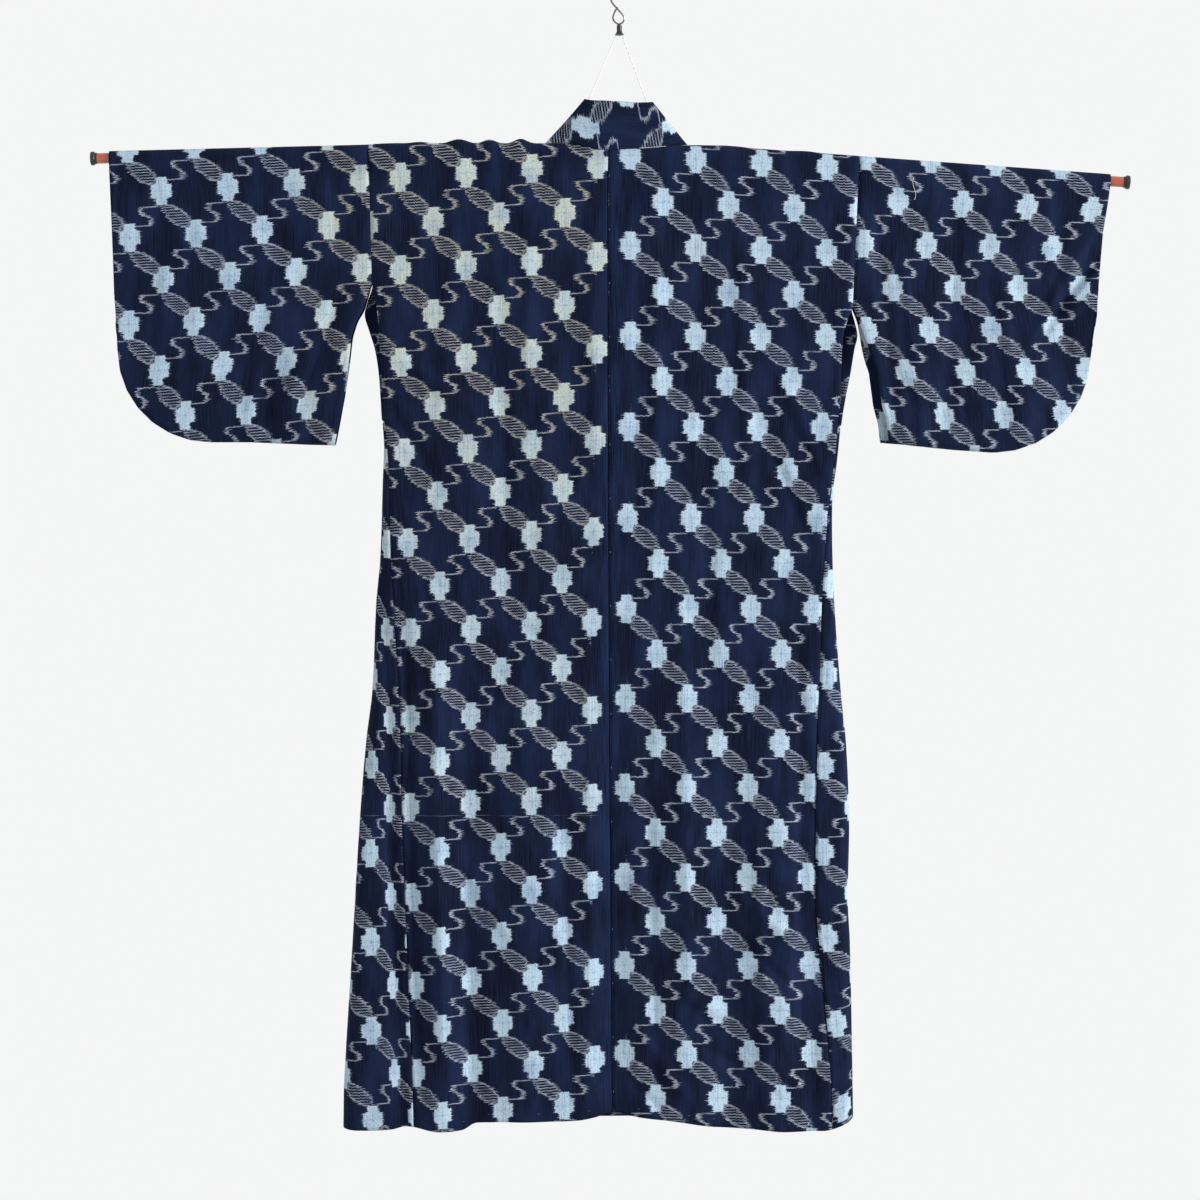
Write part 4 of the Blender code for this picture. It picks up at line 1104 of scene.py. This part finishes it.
def front_row(side, drop):
    """Front panel at a level: warp threads at equal steps of cloth from the side edge."""
    line = front_section(side, drop)
    length = sum(math.dist(a, b) for a, b in zip(line, line[1:]))
    row, spread = [], []
    for column in range(PANEL_COLUMNS + 1):
        x, y = along(line, column / PANEL_COLUMNS)
        from_seam = length * column / PANEL_COLUMNS
        towards_front = ease((y + EDGE_BEND) / (2 * EDGE_BEND))
        hem = between(smooth(BACK_HEM, x), FRONT_HEM, towards_front)
        real = settled(x, drop, hem)
        lift = relief(FRONT_CREASES, FRONT_LAYER, x, real, from_seam, length - from_seam)
        lift = lift * towards_front * ease(real / RIDGE_CALM)
        lift += side_fold(side, from_seam, drop) * (1 - towards_front)
        row.append(place(x, y + lift, real))
        spread.append(from_seam)
    return row, spread


def shoulder_row(side, angle, neck_x):
    """Row over the rod: the angle is 0 at the back, 90 on top and 180 in front."""
    out = SIDES[side]
    edge = side_edge(side, 0, 1) - out * SEAM_GAP / 2
    inner = neck_x + out * SEAM_GAP / 2
    turn = math.radians(angle)
    row = []
    for column in range(PANEL_COLUMNS + 1):
        x = between(edge, inner, column / PANEL_COLUMNS)
        radius = bend_radius(x)
        raised = puff(x) * math.sin(turn)
        behind = PUFF_BEHIND * puff(x) * max(math.cos(turn), 0)
        row.append(place(x, -radius * math.cos(turn) - behind,
                         -rod_rise(x) - radius * math.sin(turn) - raised))
    return row


print("row functions ready")


# %% Weave the two body panels
def body_panel(side):
    name = "body_" + side
    table = PATTERN[name]
    rows = [back_row(side, drop) for drop in reversed(PANEL_LEVELS)]
    turn_start = len(rows) - 1
    rows += [shoulder_row(side, angle, straight(NECK_LINE, angle, NECK_COLUMN[side]))
             for angle in SHOULDER_ANGLES]
    front_start = len(rows)
    spreads = []
    for drop in PANEL_LEVELS:
        row, spread = front_row(side, drop)
        rows.append(row)
        spreads.append(spread)

    def flat_place(row, column, first_row):
        x = rows[row][column].x / MM
        drop = -rows[row][column].z / MM - ROD_DROP
        if row <= turn_start:
            lattice_column, lattice_row = lattice(name, x, drop)
            if side == "left":
                squeeze = ease((lattice_column - SQUEEZE_COLUMN) / SQUEEZE_COLUMN_EASE)
                squeeze *= ease((drop - SQUEEZE_DROP) / SQUEEZE_DROP_EASE)
                lattice_column += SQUEEZE * squeeze
            return on_cloth(name, lattice_column, lattice_row)
        ridge_column, ridge_row = lattice(name, x, -rod_rise(x))
        if row < front_start:
            turned = math.radians(SHOULDER_ANGLES[row - turn_start - 1]) * bend_radius(x)
            return on_cloth(name, ridge_column, ridge_row - turned / REPEAT[1])
        level = PANEL_LEVELS[row - front_start]
        spread = spreads[row - front_start][column]
        start_x = rows[front_start][column].x / MM
        start_row = lattice(name, start_x, -rod_rise(start_x))[1]
        start_row -= math.pi * bend_radius(start_x) / REPEAT[1]
        if side == "left":
            gathered = GATHER * ease((level - SIDE_FOLD[3]) / SIDE_FOLD[4])
            spread += gathered * (ease(spread / GATHER_OVER) - GATHER_BEFORE)
        return on_cloth(name, straight(table["front_edge"], level) - spread / FRONT_PITCH,
                        start_row - read_on(table["front_rows"], level))

    return woven_sheet(name + "_cloth", rows, flat_place, COTTON_EDGED[side])


BODY_FLAT = (0.30, 2.44)
for side in SIDES:
    panel = body_panel(side)
    cotton_piece(panel, BODY_FLAT, ["rod_middle", "rod_arm_" + side], "body_" + side, "front_" + side)

# %% [markdown]
# ## Overlap strips
# An okumi is a half-width strip sewn to each front's edge, so the left front can lap over the right.
# Its slanted upper end runs out under the collar.

# %% Lines of the overlap strips
OKUMI_EDGE = {
    "left": ((607, 8.7), (1217, -65.0)),
    "right": ((607, -39.0), (1217, -28.0)),
}
COLLAR_END = 600
COLLAR_END_TIP = 607
OKUMI_TOP = 225.0
OKUMI_COLUMNS = 30
OKUMI_FLAT = (0.15, 1.01)
# Its slanted end leaves about three quarters of the rectangle
OKUMI_AREA = 0.112
OKUMI_PLACE = {"left": (0.25, 0.3), "right": (0.6, 0.8)}


def okumi_strip(side):
    out = SIDES[side]
    count = round((HEM_DROP - OKUMI_TOP) / THREAD_STEP)
    drops = [between(OKUMI_TOP, HEM_DROP, step / count) for step in range(count + 1)]
    rows = []
    for drop in drops:
        seam = smooth(OKUMI_SEAM[side], drop) - out * SEAM_GAP / 2
        if drop <= COLLAR_END:
            edge = smooth(COLLAR_FOOT[side], drop) + out * SEAM_GAP / 2
        else:
            edge = smooth(OKUMI_EDGE[side], max(drop, COLLAR_END_TIP))
        row = []
        for column in range(OKUMI_COLUMNS + 1):
            share = column / OKUMI_COLUMNS
            x = between(seam, edge, share)
            real = settled(x, drop, FRONT_HEM)
            lift = relief(FRONT_CREASES, FRONT_LAYER, x, real, abs(x - seam), abs(x - edge))
            row.append(place(x, front_y(side, x, drop) + lift, real))
        rows.append(row)
    start_column, start_row = OKUMI_PLACE[side]

    def flat_place(row, column, first_row):
        point, seam_point = rows[row][column], rows[row][0]
        return on_cloth(side, start_column - (point - seam_point).length / MM / REPEAT[0],
                        start_row - drops[row] / REPEAT[1])

    return woven_sheet("okumi_" + side + "_cloth", rows, flat_place, COTTON[side])


for side in SIDES:
    cotton_piece(okumi_strip(side), OKUMI_FLAT, ["body_" + side + "_cloth"], "okumi_" + side,
                 area=OKUMI_AREA)

# %% [markdown]
# ## Sleeves
# A sleeve is one folded rectangle with a rounded lower corner. The cloth lies double from the
# rod down, sewn along the bottom and up to the wrist opening. Rings from the armhole to the wrist
# describe it, each going down the back, round the bottom edge and up the front, so the sleeve is
# woven closed and stays open at both its ends.

# %% Lines of the sleeves
SLEEVES = {
    "left": {
        "inner": ((-309.1, 163), (-319.6, 198), (-328.0, 212), (-334.0, 231), (-338.4, 269),
                  (-344.0, 306), (-350.8, 343), (-355.5, 367)),
        "bottom": ((-394, 366), (-460, 363), (-512, 363)),
        "corner": {"centre": (-512, 249), "radius": (115, 114)},
        "outer": ((-627.0, 224),),
        "wrist": ((-627.0, 189), (-630.7, 178), (-632.0, 138), (-635.2, 57)),
        "front_edge_shift": 0.0,
    },
    "right": {
        "inner": ((289.9, 195), (297.5, 212), (307.3, 240), (320.5, 275), (326.0, 317),
                  (332.4, 341), (334.6, 364)),
        "bottom": ((358, 366), (424, 373), (467, 376)),
        "corner": {"centre": (467, 256), "radius": (120, 120)},
        "outer": ((588.5, 235),),
        "wrist": ((589.7, 214), (594.6, 200), (595.6, 178), (602.1, 101), (608.3, 63)),
        "front_edge_shift": -9.0,
    },
}
SLEEVE_TOP_X = {"left": (-313.5, -637.3), "right": (298.6, 612.0)}
SLEEVE_SLACK = -1.5
SLEEVE_SLACK_DROP = 200.0
SLEEVE_BLEND = 0.33
SLEEVE_HEM_DROP = 370.0
CORNER_STEPS = 7
FRONT_SHIFT_START = 16.0
FRONT_SHIFT_EASE = 70.0
SWAY_AT_ARMHOLE = 0.6
SWAY_GROWTH = 4.0
SLEEVE_FOLDS = (
    (-400, -405, 190, 24, 4.0),
    (-432, -440, 230, 18, -2.5),
    (-364, -372, 230, 13, 3.0),
    (348, 354, 220, 15, 3.0),
    (388, 398, 240, 22, -2.5),
    (520, 500, 220, 26, 2.0),
)
SLEEVE_EDGE_BEND = 9.0
SLEEVE_RINGS = 64
SLEEVE_LAYER_STEPS = 70
# Last steps before the bottom edge, where the two layers come together
EDGE_TURN = (0.3, 0.55, 0.75, 0.9, 0.97)
# The armhole seam's dip goes on this far below its end
SEAM_END_LAP = 12
RIDGE_ANGLES = (90, 68, 45, 22)
print("sleeve rings:", SLEEVE_RINGS)


# %% Rings of the sleeves
def sleeve_lines(side):
    """The four plan lines of a sleeve, as x, drop: inner edge, wrist, top and closed outline."""
    sleeve = SLEEVES[side]
    out = SIDES[side]
    inner_x, outer_x = SLEEVE_TOP_X[side]
    top_inner = (inner_x + out * SEAM_GAP / 2, -rod_rise(inner_x))
    top_outer = (outer_x, -rod_rise(outer_x))
    inner = [top_inner] + [(x + out * SEAM_GAP / 2, drop) for x, drop in sleeve["inner"]]
    wrist = [top_outer] + list(reversed(sleeve["wrist"]))
    centre_x, centre_drop = sleeve["corner"]["centre"]
    radius_x, radius_drop = sleeve["corner"]["radius"]
    corner = []
    for step in range(1, CORNER_STEPS + 1):
        angle = math.pi / 2 * step / CORNER_STEPS
        corner.append((centre_x + out * radius_x * math.sin(angle),
                       centre_drop + radius_drop * math.cos(angle)))
    outline = [inner[-1]] + list(sleeve["bottom"]) + corner + list(sleeve["outer"]) + [wrist[-1]]
    return inner, wrist, [top_inner, top_outer], outline


def patch(lines, across, down):
    """Plan point inside the four lines of a sleeve."""
    inner, wrist, top, outline = lines
    ends = (along(top, across), along(outline, across), along(inner, down), along(wrist, down))
    corners = (inner[0], wrist[0], inner[-1], wrist[-1])
    point = []
    for axis in range(2):
        ruled = between(ends[0][axis], ends[1][axis], down)
        ruled += between(ends[2][axis], ends[3][axis], across)
        upper = between(corners[0][axis], corners[1][axis], across)
        lower = between(corners[2][axis], corners[3][axis], across)
        point.append(ruled - between(upper, lower, down))
    return point


def sleeve_depth(side, x, drop, across):
    """Half the distance between a sleeve's outer faces."""
    level = drop + rod_rise(x)
    near_body = smooth(LAYER_DEPTH, min(max(level, 0), SLEEVE_SEAM_END["left"]), 1)
    loose = SLEEVE_SLACK * ease(level / SLEEVE_SLACK_DROP)
    return bend_radius(x) + between(near_body, loose, ease(across / SLEEVE_BLEND))


def sleeve_ring(side, lines, across):
    """Closed ring from the ridge: down the back, round the bottom and up the front."""
    sleeve = SLEEVES[side]
    top_x, top_drop = patch(lines, across, 0)
    length = math.dist((top_x, top_drop), patch(lines, across, 1))
    bend = SLEEVE_EDGE_BEND / length
    layer = [(between(0, 1 - bend, step / SLEEVE_LAYER_STEPS), 1.0)
             for step in range(SLEEVE_LAYER_STEPS + 1)]
    layer += [(1 - bend * (1 - turn), math.sqrt(1 - turn ** 2)) for turn in EDGE_TURN]
    radius = bend_radius(top_x)
    ring = []
    for angle in RIDGE_ANGLES:
        turn = math.radians(angle)
        ring.append(place(top_x, -radius * math.cos(turn), top_drop - radius * math.sin(turn)))
    for face, steps in ((-1, layer), (0, [(1.0, 0.0)]), (1, layer[::-1])):
        for share, fullness in steps:
            x, drop = patch(lines, across, share)
            if face > 0:
                below = drop - SLEEVE_SEAM_END[side] - FRONT_SHIFT_START
                x += (sleeve["front_edge_shift"] * (1 - across) ** 2
                      * ease(below / FRONT_SHIFT_EASE))
            sway = fold_height(SLEEVE_FOLDS, x, drop, SLEEVE_HEM_DROP)
            below_ridge = drop - top_drop
            below_calm = ease(below_ridge / SLEEVE_RIDGE_CALM)
            sway += crease_height(SLEEVE_CREASES, x, drop) * below_calm
            sway *= ease(SWAY_GROWTH * across + SWAY_AT_ARMHOLE)
            armhole = across * abs(SLEEVE_TOP_X[side][1] - SLEEVE_TOP_X[side][0])
            calm = below_calm * ease(armhole / SEAM_CALM)
            own = unevenness(x, drop, SLEEVE_LAYER + face) * calm
            if drop < SLEEVE_SEAM_END[side] + SEAM_END_LAP:
                own -= SEAM_DIP * max(1 - armhole / SEAM_DIP_WIDTH, 0.0) ** 2
            y = face * (sleeve_depth(side, x, drop, across) + own) * fullness - sway
            ring.append(place(x, y, drop))
    for angle in reversed(RIDGE_ANGLES):
        turn = math.radians(180 - angle)
        ring.append(place(top_x, -radius * math.cos(turn), top_drop - radius * math.sin(turn)))
    return ring


print("sleeve functions ready")


# %% Weave the two sleeves
def sleeve_cloth(side):
    name = "sleeve_" + side
    lines = sleeve_lines(side)
    rings = [sleeve_ring(side, lines, step / SLEEVE_RINGS) for step in range(SLEEVE_RINGS + 1)]
    rows = list(zip(*rings))
    bottom = len(RIDGE_ANGLES) + SLEEVE_LAYER_STEPS + 1 + len(EDGE_TURN)
    last = len(rows) - 1

    def flat_place(row, column, first_row):
        x = rows[row][column].x / MM
        drop = -rows[row][column].z / MM - ROD_DROP
        top_drop = -rod_rise(x)
        on_ridge = min(row, last - row)
        if on_ridge < len(RIDGE_ANGLES):
            drop = top_drop
        column_count, row_count = lattice(name, x, drop)
        if first_row < bottom and row > 0 or row == 0:
            quarter = math.radians(RIDGE_ANGLES[on_ridge]) if on_ridge < len(RIDGE_ANGLES) else 0
            return on_cloth(name, column_count, row_count - quarter * bend_radius(x) / REPEAT[1])
        ridge_column, ridge_row = lattice(name, x, top_drop)
        turned = math.pi
        if on_ridge < len(RIDGE_ANGLES):
            turned -= math.radians(RIDGE_ANGLES[on_ridge])
        ridge_row -= (turned * bend_radius(x) + drop - top_drop) / REPEAT[1]
        return on_cloth(name, column_count, ridge_row)

    return woven_sheet(name + "_cloth", rows, flat_place, COTTON_SLEEVE[side], closed=True)


SLEEVE_FLAT = {"left": (0.33, 0.73), "right": (0.32, 0.73)}
for side in SIDES:
    cotton_piece(sleeve_cloth(side), SLEEVE_FLAT[side], ["rod_arm_" + side], "sleeve_" + side)

# %% [markdown]
# ## Collar
# One long band, folded double and sewn round the neck edge. It stands up behind the neck and folds
# out flat on the fronts. Behind the neck its own foot hides the seam.

# %% Lines of the collar
COLLAR_FREE = {
    "left": ((-62, -41.0), (-16, -33.6), (607, 8.7)),
    "right": ((-54, 37.2), (-16, 28.0), (607, -39.0)),
}
# The finished collar stands 2 to 5 mm taller than its solid
COLLAR_CORNER = {"left": (-44.3, -65.8), "right": (41.1, -62.2)}
COLLAR_FOLD_OUT = {"left": (-0.71, 0.70), "right": (0.73, 0.68)}
COLLAR_TIP_BEND = 10.2
COLLAR_TOP = {"x": -12.4, "drop": -64.4, "y": -9.0}
COLLAR_TURN = 110.0
COLLAR_HEIGHT = 60.0
NECK_SIDE_ANGLES = (50, 100)
NECK_STEPS = 6
COLLAR_FOLDED_ANGLE = 70
COLLAR_WALL = 2.0
COLLAR_COLUMNS = 16
COLLAR_STEP = 4.0
# The band is 12 cm wide and folded double, so half of its width shows
COLLAR_FLAT = (0.06, 1.50)
# Where a flower lies: along the band from its middle, and across it from the free edge
COLLAR_PATTERN = (25.8, 35.0)
print("collar band:", COLLAR_FLAT)


# %% Stations of the collar
def collar_front_station(side, drop):
    """Foot and free edge on the front; the free edge catches up with the foot below the fold."""
    out = SIDES[side]
    foot_x = smooth(COLLAR_FOOT[side], drop) - out * SEAM_GAP / 2
    behind = COLLAR_HEIGHT * (1 - ease(drop / COLLAR_TURN))
    free_drop = drop - behind
    tip_share = ease((drop - COLLAR_TURN) / (COLLAR_END - COLLAR_TURN)) if drop > COLLAR_TURN else 0
    free_drop += (COLLAR_END_TIP - COLLAR_END) * tip_share
    free_x = smooth(COLLAR_FREE[side], free_drop)
    tucked = behind / COLLAR_HEIGHT
    foot = place(foot_x, front_y(side, foot_x, drop) + COLLAR_PROUD,
                 settled(foot_x, drop, FRONT_HEM))
    flat_y = front_y(side, free_x, max(free_drop, 0)) + COLLAR_PROUD
    free = place(free_x, between(flat_y, COLLAR_TIP_BEND, tucked), free_drop)
    return foot, free


def collar_neck_station(side, angle, neck_x):
    """Foot on the neck edge over the rod, free edge standing up behind the neck."""
    out = SIDES[side]
    turn = math.radians(angle)
    radius = bend_radius(neck_x) + COLLAR_PROUD
    side_from, side_to = NECK_SIDE_ANGLES
    sideways = ease((angle - side_from) / (side_to - side_from))
    inward = SEAM_GAP * sideways
    upward = SEAM_GAP * (1 - sideways) / radius
    foot = place(neck_x - out * inward / 2,
                 -radius * math.cos(turn + upward),
                 -rod_rise(neck_x) - radius * math.sin(turn + upward))
    corner_x, corner_drop = COLLAR_CORNER[side]
    out_x, out_up = COLLAR_FOLD_OUT[side]
    lift = COLLAR_TIP_BEND * (math.sin(turn) - 1)
    folded = place(corner_x + out_x * lift, -COLLAR_TIP_BEND * math.cos(turn),
                   corner_drop - out_up * lift)
    standing = place(COLLAR_TOP["x"], COLLAR_TOP["y"], COLLAR_TOP["drop"])
    first = NECK_LINE[0][0]
    reach = ease(math.sqrt(min((angle - first) / (COLLAR_FOLDED_ANGLE - first), 1.0)))
    free = standing.lerp(folded, reach)
    return foot, free


def neck_angles():
    """Angles of the neck stations, from the front round to the back."""
    angles = []
    table = [line[0] for line in NECK_LINE if 14 <= line[0] <= 150]
    for low, high in zip(table[::-1], table[-2::-1]):
        angles += [between(low, high, step / NECK_STEPS) for step in range(NECK_STEPS)]
    return angles + [table[0]]


def collar_stations():
    fronts = {}
    for side, column in NECK_COLUMN.items():
        count = round(COLLAR_END / COLLAR_STEP)
        stations = [collar_front_station(side, COLLAR_END * step / count)
                    for step in range(count, -1, -1)]
        stations += [collar_neck_station(side, angle, straight(NECK_LINE, angle, column))
                     for angle in neck_angles()]
        fronts[side] = stations
    return fronts["left"] + fronts["right"][::-1][1:]


def running_length(points):
    """Distance along a line of points, at each of them."""
    lengths = [0.0]
    for start, end in zip(points, points[1:]):
        lengths.append(lengths[-1] + (end - start).length / MM)
    return lengths


# The foot is turned under and laps over the neck edge
FOOT_LAP = 1.6
stations = [(foot + (foot - free).normalized() * FOOT_LAP * MM, free)
            for foot, free in collar_stations()]
print("collar stations:", len(stations))

# %% Weave the collar
collar_rows = []
for foot, free in stations:
    collar_rows.append([foot.lerp(free, column / COLLAR_COLUMNS)
                        for column in range(COLLAR_COLUMNS + 1)])
foot_run = running_length([foot for foot, free in stations])
free_run = running_length([free for foot, free in stations])
middle_station = len(stations) // 2


def collar_place(row, column, first_row):
    share = column / COLLAR_COLUMNS
    from_middle = between(foot_run[middle_station] - foot_run[row],
                          free_run[middle_station] - free_run[row], share)
    foot, free = stations[row]
    from_free = (1 - share) * (free - foot).length / MM
    return from_free - COLLAR_PATTERN[1], from_middle - COLLAR_PATTERN[0]


collar = woven_sheet("collar_cloth", collar_rows, collar_place, COTTON["left"], COLLAR_WALL)
cotton_piece(collar, COLLAR_FLAT, ["body_left_cloth", "body_right_cloth"], "collar")

# %% [markdown]
# ## Sewing
# The seams are sewn by hand in dark thread that sinks into the cloth. What shows is a pale stitch here
# and there down the middle seam, a light thread along the collar's foot, and a loose end of
# basting thread that has stayed on the right sleeve. The hem is caught up by small stitches.

# %% Thread that shows
THREAD_RADIUS = 0.3
# How far a thread's middle stands off the cloth, as a share of its radius
THREAD_STANDS = 0.4
# Stitches beside the middle seam: how far apart and how long, from and to which drop, how far aside
SEAM_STITCHES, SEAM_STITCH_DROPS, SEAM_STITCH_ASIDE = (67, 2.4), (30, 1190), 0.9
# Stitches along the hem: how far apart and how long, how many on each side, how far above the dip
HEM_STITCHES, HEM_STITCH_COUNT, HEM_STITCH_ABOVE = (31, 2.0), 8, 1.0
# Along the loose thread on the right sleeve: x and drop
LOOSE_THREAD = ((366, 33), (364.6, 38), (365.6, 44), (367.6, 50), (368.6, 56), (367, 61))
# Along the collar's foot: from x, to x, and how far up the band as a share of its height
COLLAR_THREAD_FROM, COLLAR_THREAD_TO, COLLAR_THREAD_UP = 24.0, 62.0, 0.01
# The cloth is looked at from this far behind, to find where a thread lies
LOOK_FROM = -200
# The hem's stitches are counted outwards from the middle seam, where it has come down so far
HEM_STITCH_LEVEL = 1180


def laid_on(piece, x, drop):
    """Where a thread lies on a piece's back, or None where there is no cloth."""
    found, spot, normal, index = piece.ray_cast(place(x, LOOK_FROM, drop), Vector((0, 1, 0)))
    return spot + normal * THREAD_RADIUS * THREAD_STANDS * MM if found else None


def thread_finish(name, light, dark):
    material, tree, shader = new_finish(name)
    spots = add(tree, "TexCoord")["Object"]
    fibres = add(tree, "TexNoise", {"Vector": spots, "Scale": 900.0, "Detail": 2.0})["Fac"]
    mixed = add(tree, "Mix", {0: fibres, 6: colour(dark), 7: colour(light)}, data_type="RGBA")[2]
    tree.links.new(mixed, shader.inputs["Base Color"])
    shader.inputs["Roughness"].default_value = 0.8
    return material


def round_threads(name, runs, radius, sides, finish):
    """Round threads of one radius along runs of places, as one piece."""
    data = bpy.data.curves.new(name, "CURVE")
    data.dimensions = "3D"
    for run in runs:
        spline = data.splines.new("POLY")
        spline.points.add(len(run) - 1)
        for knot, spot in zip(spline.points, run):
            knot.co = (*spot, 1)
    data.bevel_depth = radius * MM
    data.bevel_resolution = sides // 2 - 2
    data.use_fill_caps = True
    data.materials.append(finish)
    piece = bpy.data.objects.new(name, data)
    bpy.context.scene.collection.objects.link(piece)
    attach(piece, "root")
    print(name, "has", len(runs), "threads")
    return piece


# %% Sew
bpy.context.view_layer.update()
right_back = bpy.data.objects["body_right_cloth"]
apart, length = SEAM_STITCHES
middle_runs = []
for drop in range(*SEAM_STITCH_DROPS, apart):
    x = smooth(BACK_SEAM, drop) + SEAM_STITCH_ASIDE
    middle_runs.append([laid_on(right_back, x, drop), laid_on(right_back, x, drop + length)])
apart, length = HEM_STITCHES
hem_runs = []
for side in SIDES:
    panel = bpy.data.objects["body_" + side + "_cloth"]
    for count in range(1, HEM_STITCH_COUNT + 1):
        x = smooth(BACK_SEAM, HEM_STITCH_LEVEL) + SIDES[side] * count * apart
        drop = smooth(BACK_HEM, x) - HEM_TURN - HEM_STITCH_ABOVE
        hem_runs.append([laid_on(panel, x, drop), laid_on(panel, x + length, drop)])
loose = [laid_on(bpy.data.objects["sleeve_right_cloth"], x, drop) for x, drop in LOOSE_THREAD]
off_foot = Vector((0, -THREAD_RADIUS * THREAD_STANDS * MM, 0))
collar_run = [foot.lerp(free, COLLAR_THREAD_UP) + off_foot for foot, free in stations
              if foot.y < 0 and COLLAR_THREAD_FROM < foot.x / MM < COLLAR_THREAD_TO]
PALE_THREAD = thread_finish("undyed sewing thread", "d3cfc2", "a8a393")
BLUE_THREAD = thread_finish("faded blue sewing thread", "5d7190", "2c3b57")
stitches = [run for run in middle_runs + hem_runs if None not in run]
round_threads("loose_thread", [loose, collar_run], THREAD_RADIUS, 6, PALE_THREAD)
round_threads("seam_stitches", stitches, THREAD_RADIUS, 6, BLUE_THREAD)

# %% [markdown]
# ## Rod, caps, hook and crimp
# The rod is thin metal tube under red-brown lacquer, which is glossy over a warmer ground. Its end caps
# and the crimp are moulded black plastic, and the hook is drawn steel wire that has darkened. Their
# CAD solids have the right shape, so they keep it and only get these finishes.


# %% Hard finishes
def speckled(name, light, dark, roughness, spot, metallic=0.0, bump=0.00005, coat=0.0):
    """A hard finish whose colour and relief vary over spots of a real size in metres."""
    material, tree, shader = new_finish(name)
    spots = add(tree, "TexCoord")["Object"]
    pattern = add(tree, "TexNoise", {"Vector": spots, "Scale": 1 / spot, "Detail": 4.0})["Fac"]
    mixed = add(tree, "Mix", {0: pattern, 6: colour(dark), 7: colour(light)}, data_type="RGBA")[2]
    tree.links.new(mixed, shader.inputs["Base Color"])
    uneven = add(tree, "MapRange", {"Value": pattern, "To Min": roughness * 0.7,
                                    "To Max": roughness * 1.3})[0]
    tree.links.new(uneven, shader.inputs["Roughness"])
    relief_bump = add(tree, "Bump", {"Height": pattern, "Strength": 0.5, "Distance": bump})[0]
    tree.links.new(relief_bump, shader.inputs["Normal"])
    shader.inputs["Metallic"].default_value = metallic
    shader.inputs["Coat Weight"].default_value = coat
    return material


LACQUER = speckled("red-brown lacquer", "b0583a", "7c3322", 0.32, 0.012, coat=0.4)
CAP_PLASTIC = speckled("moulded black plastic", "211d18", "0f0d0b", 0.38, 0.004)
WIRE = speckled("darkened steel wire", "8a8680", "4a4642", 0.34, 0.003, metallic=1.0)
FINISH_OF = {
    "rod_middle": LACQUER, "rod_arm_left": LACQUER, "rod_arm_right": LACQUER,
    "cap_left": CAP_PLASTIC, "cap_right": CAP_PLASTIC, "crimp": CAP_PLASTIC, "hook": WIRE,
}
for node, finish in FINISH_OF.items():
    for material_slot in nodes[node].material_slots:
        material_slot.material = finish
floor.data.materials.append(speckled("pale floor boards", "e4e0d8", "cfcac0", 0.5, 0.08))
print("finished:", ", ".join(FINISH_OF))

# %% [markdown]
# ## String
# The robe's weight hangs on a thin white cord: two taut legs from the crimp to the rod, under
# the collar. Each is one straight curve, because the load holds it straight.

# %% White cord
STRING_RADIUS = 0.8
STRING_TOP_DROP = 66.4
STRING_TOPS = {"left": -4.4, "right": 3.0}
STRING_FEET = {"left": -63.0, "right": 53.5}
STRING_POINTS, STRING_SIDES = 16, 10


def cord_finish():
    material, tree, shader = new_finish("twisted white cotton cord")
    spots = add(tree, "TexCoord")["Object"]
    # The twist's wave gives the plies their relief, and its low bands also paint shade into the grooves
    # between them
    twist_relief_and_groove_shade = add(tree, "TexWave", {"Vector": spots, "Scale": 160.0, "Distortion": 1.0},
                bands_direction="DIAGONAL")["Fac"]
    # Painted shade: the cord is darker where the grooves between its plies lie, over its own white
    mixed = add(tree, "Mix", {0: twist_relief_and_groove_shade, 6: colour("b9b6ae"), 7: colour("efece4")},
                data_type="RGBA")[2]
    tree.links.new(mixed, shader.inputs["Base Color"])
    bump = add(tree, "Bump", {"Height": twist_relief_and_groove_shade, "Strength": 0.6, "Distance": 0.0002})[0]
    tree.links.new(bump, shader.inputs["Normal"])
    shader.inputs["Roughness"].default_value = 0.8
    return material


CORD = cord_finish()
for side in SIDES:
    top = Vector((STRING_TOPS[side] * MM, 0, -STRING_TOP_DROP * MM))
    foot_x = STRING_FEET[side]
    foot = place(foot_x, 0, -rod_rise(foot_x) - TUBE_RADIUS - STRING_RADIUS / 2)
    line = [top.lerp(foot, index / (STRING_POINTS - 1)) for index in range(STRING_POINTS)]
    leg = round_threads("string_" + side + "_cord", [line], STRING_RADIUS, STRING_SIDES, CORD)
    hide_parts("string_" + side)
    print("string leg", side, "is", round((foot - top).length / MM), "mm long")
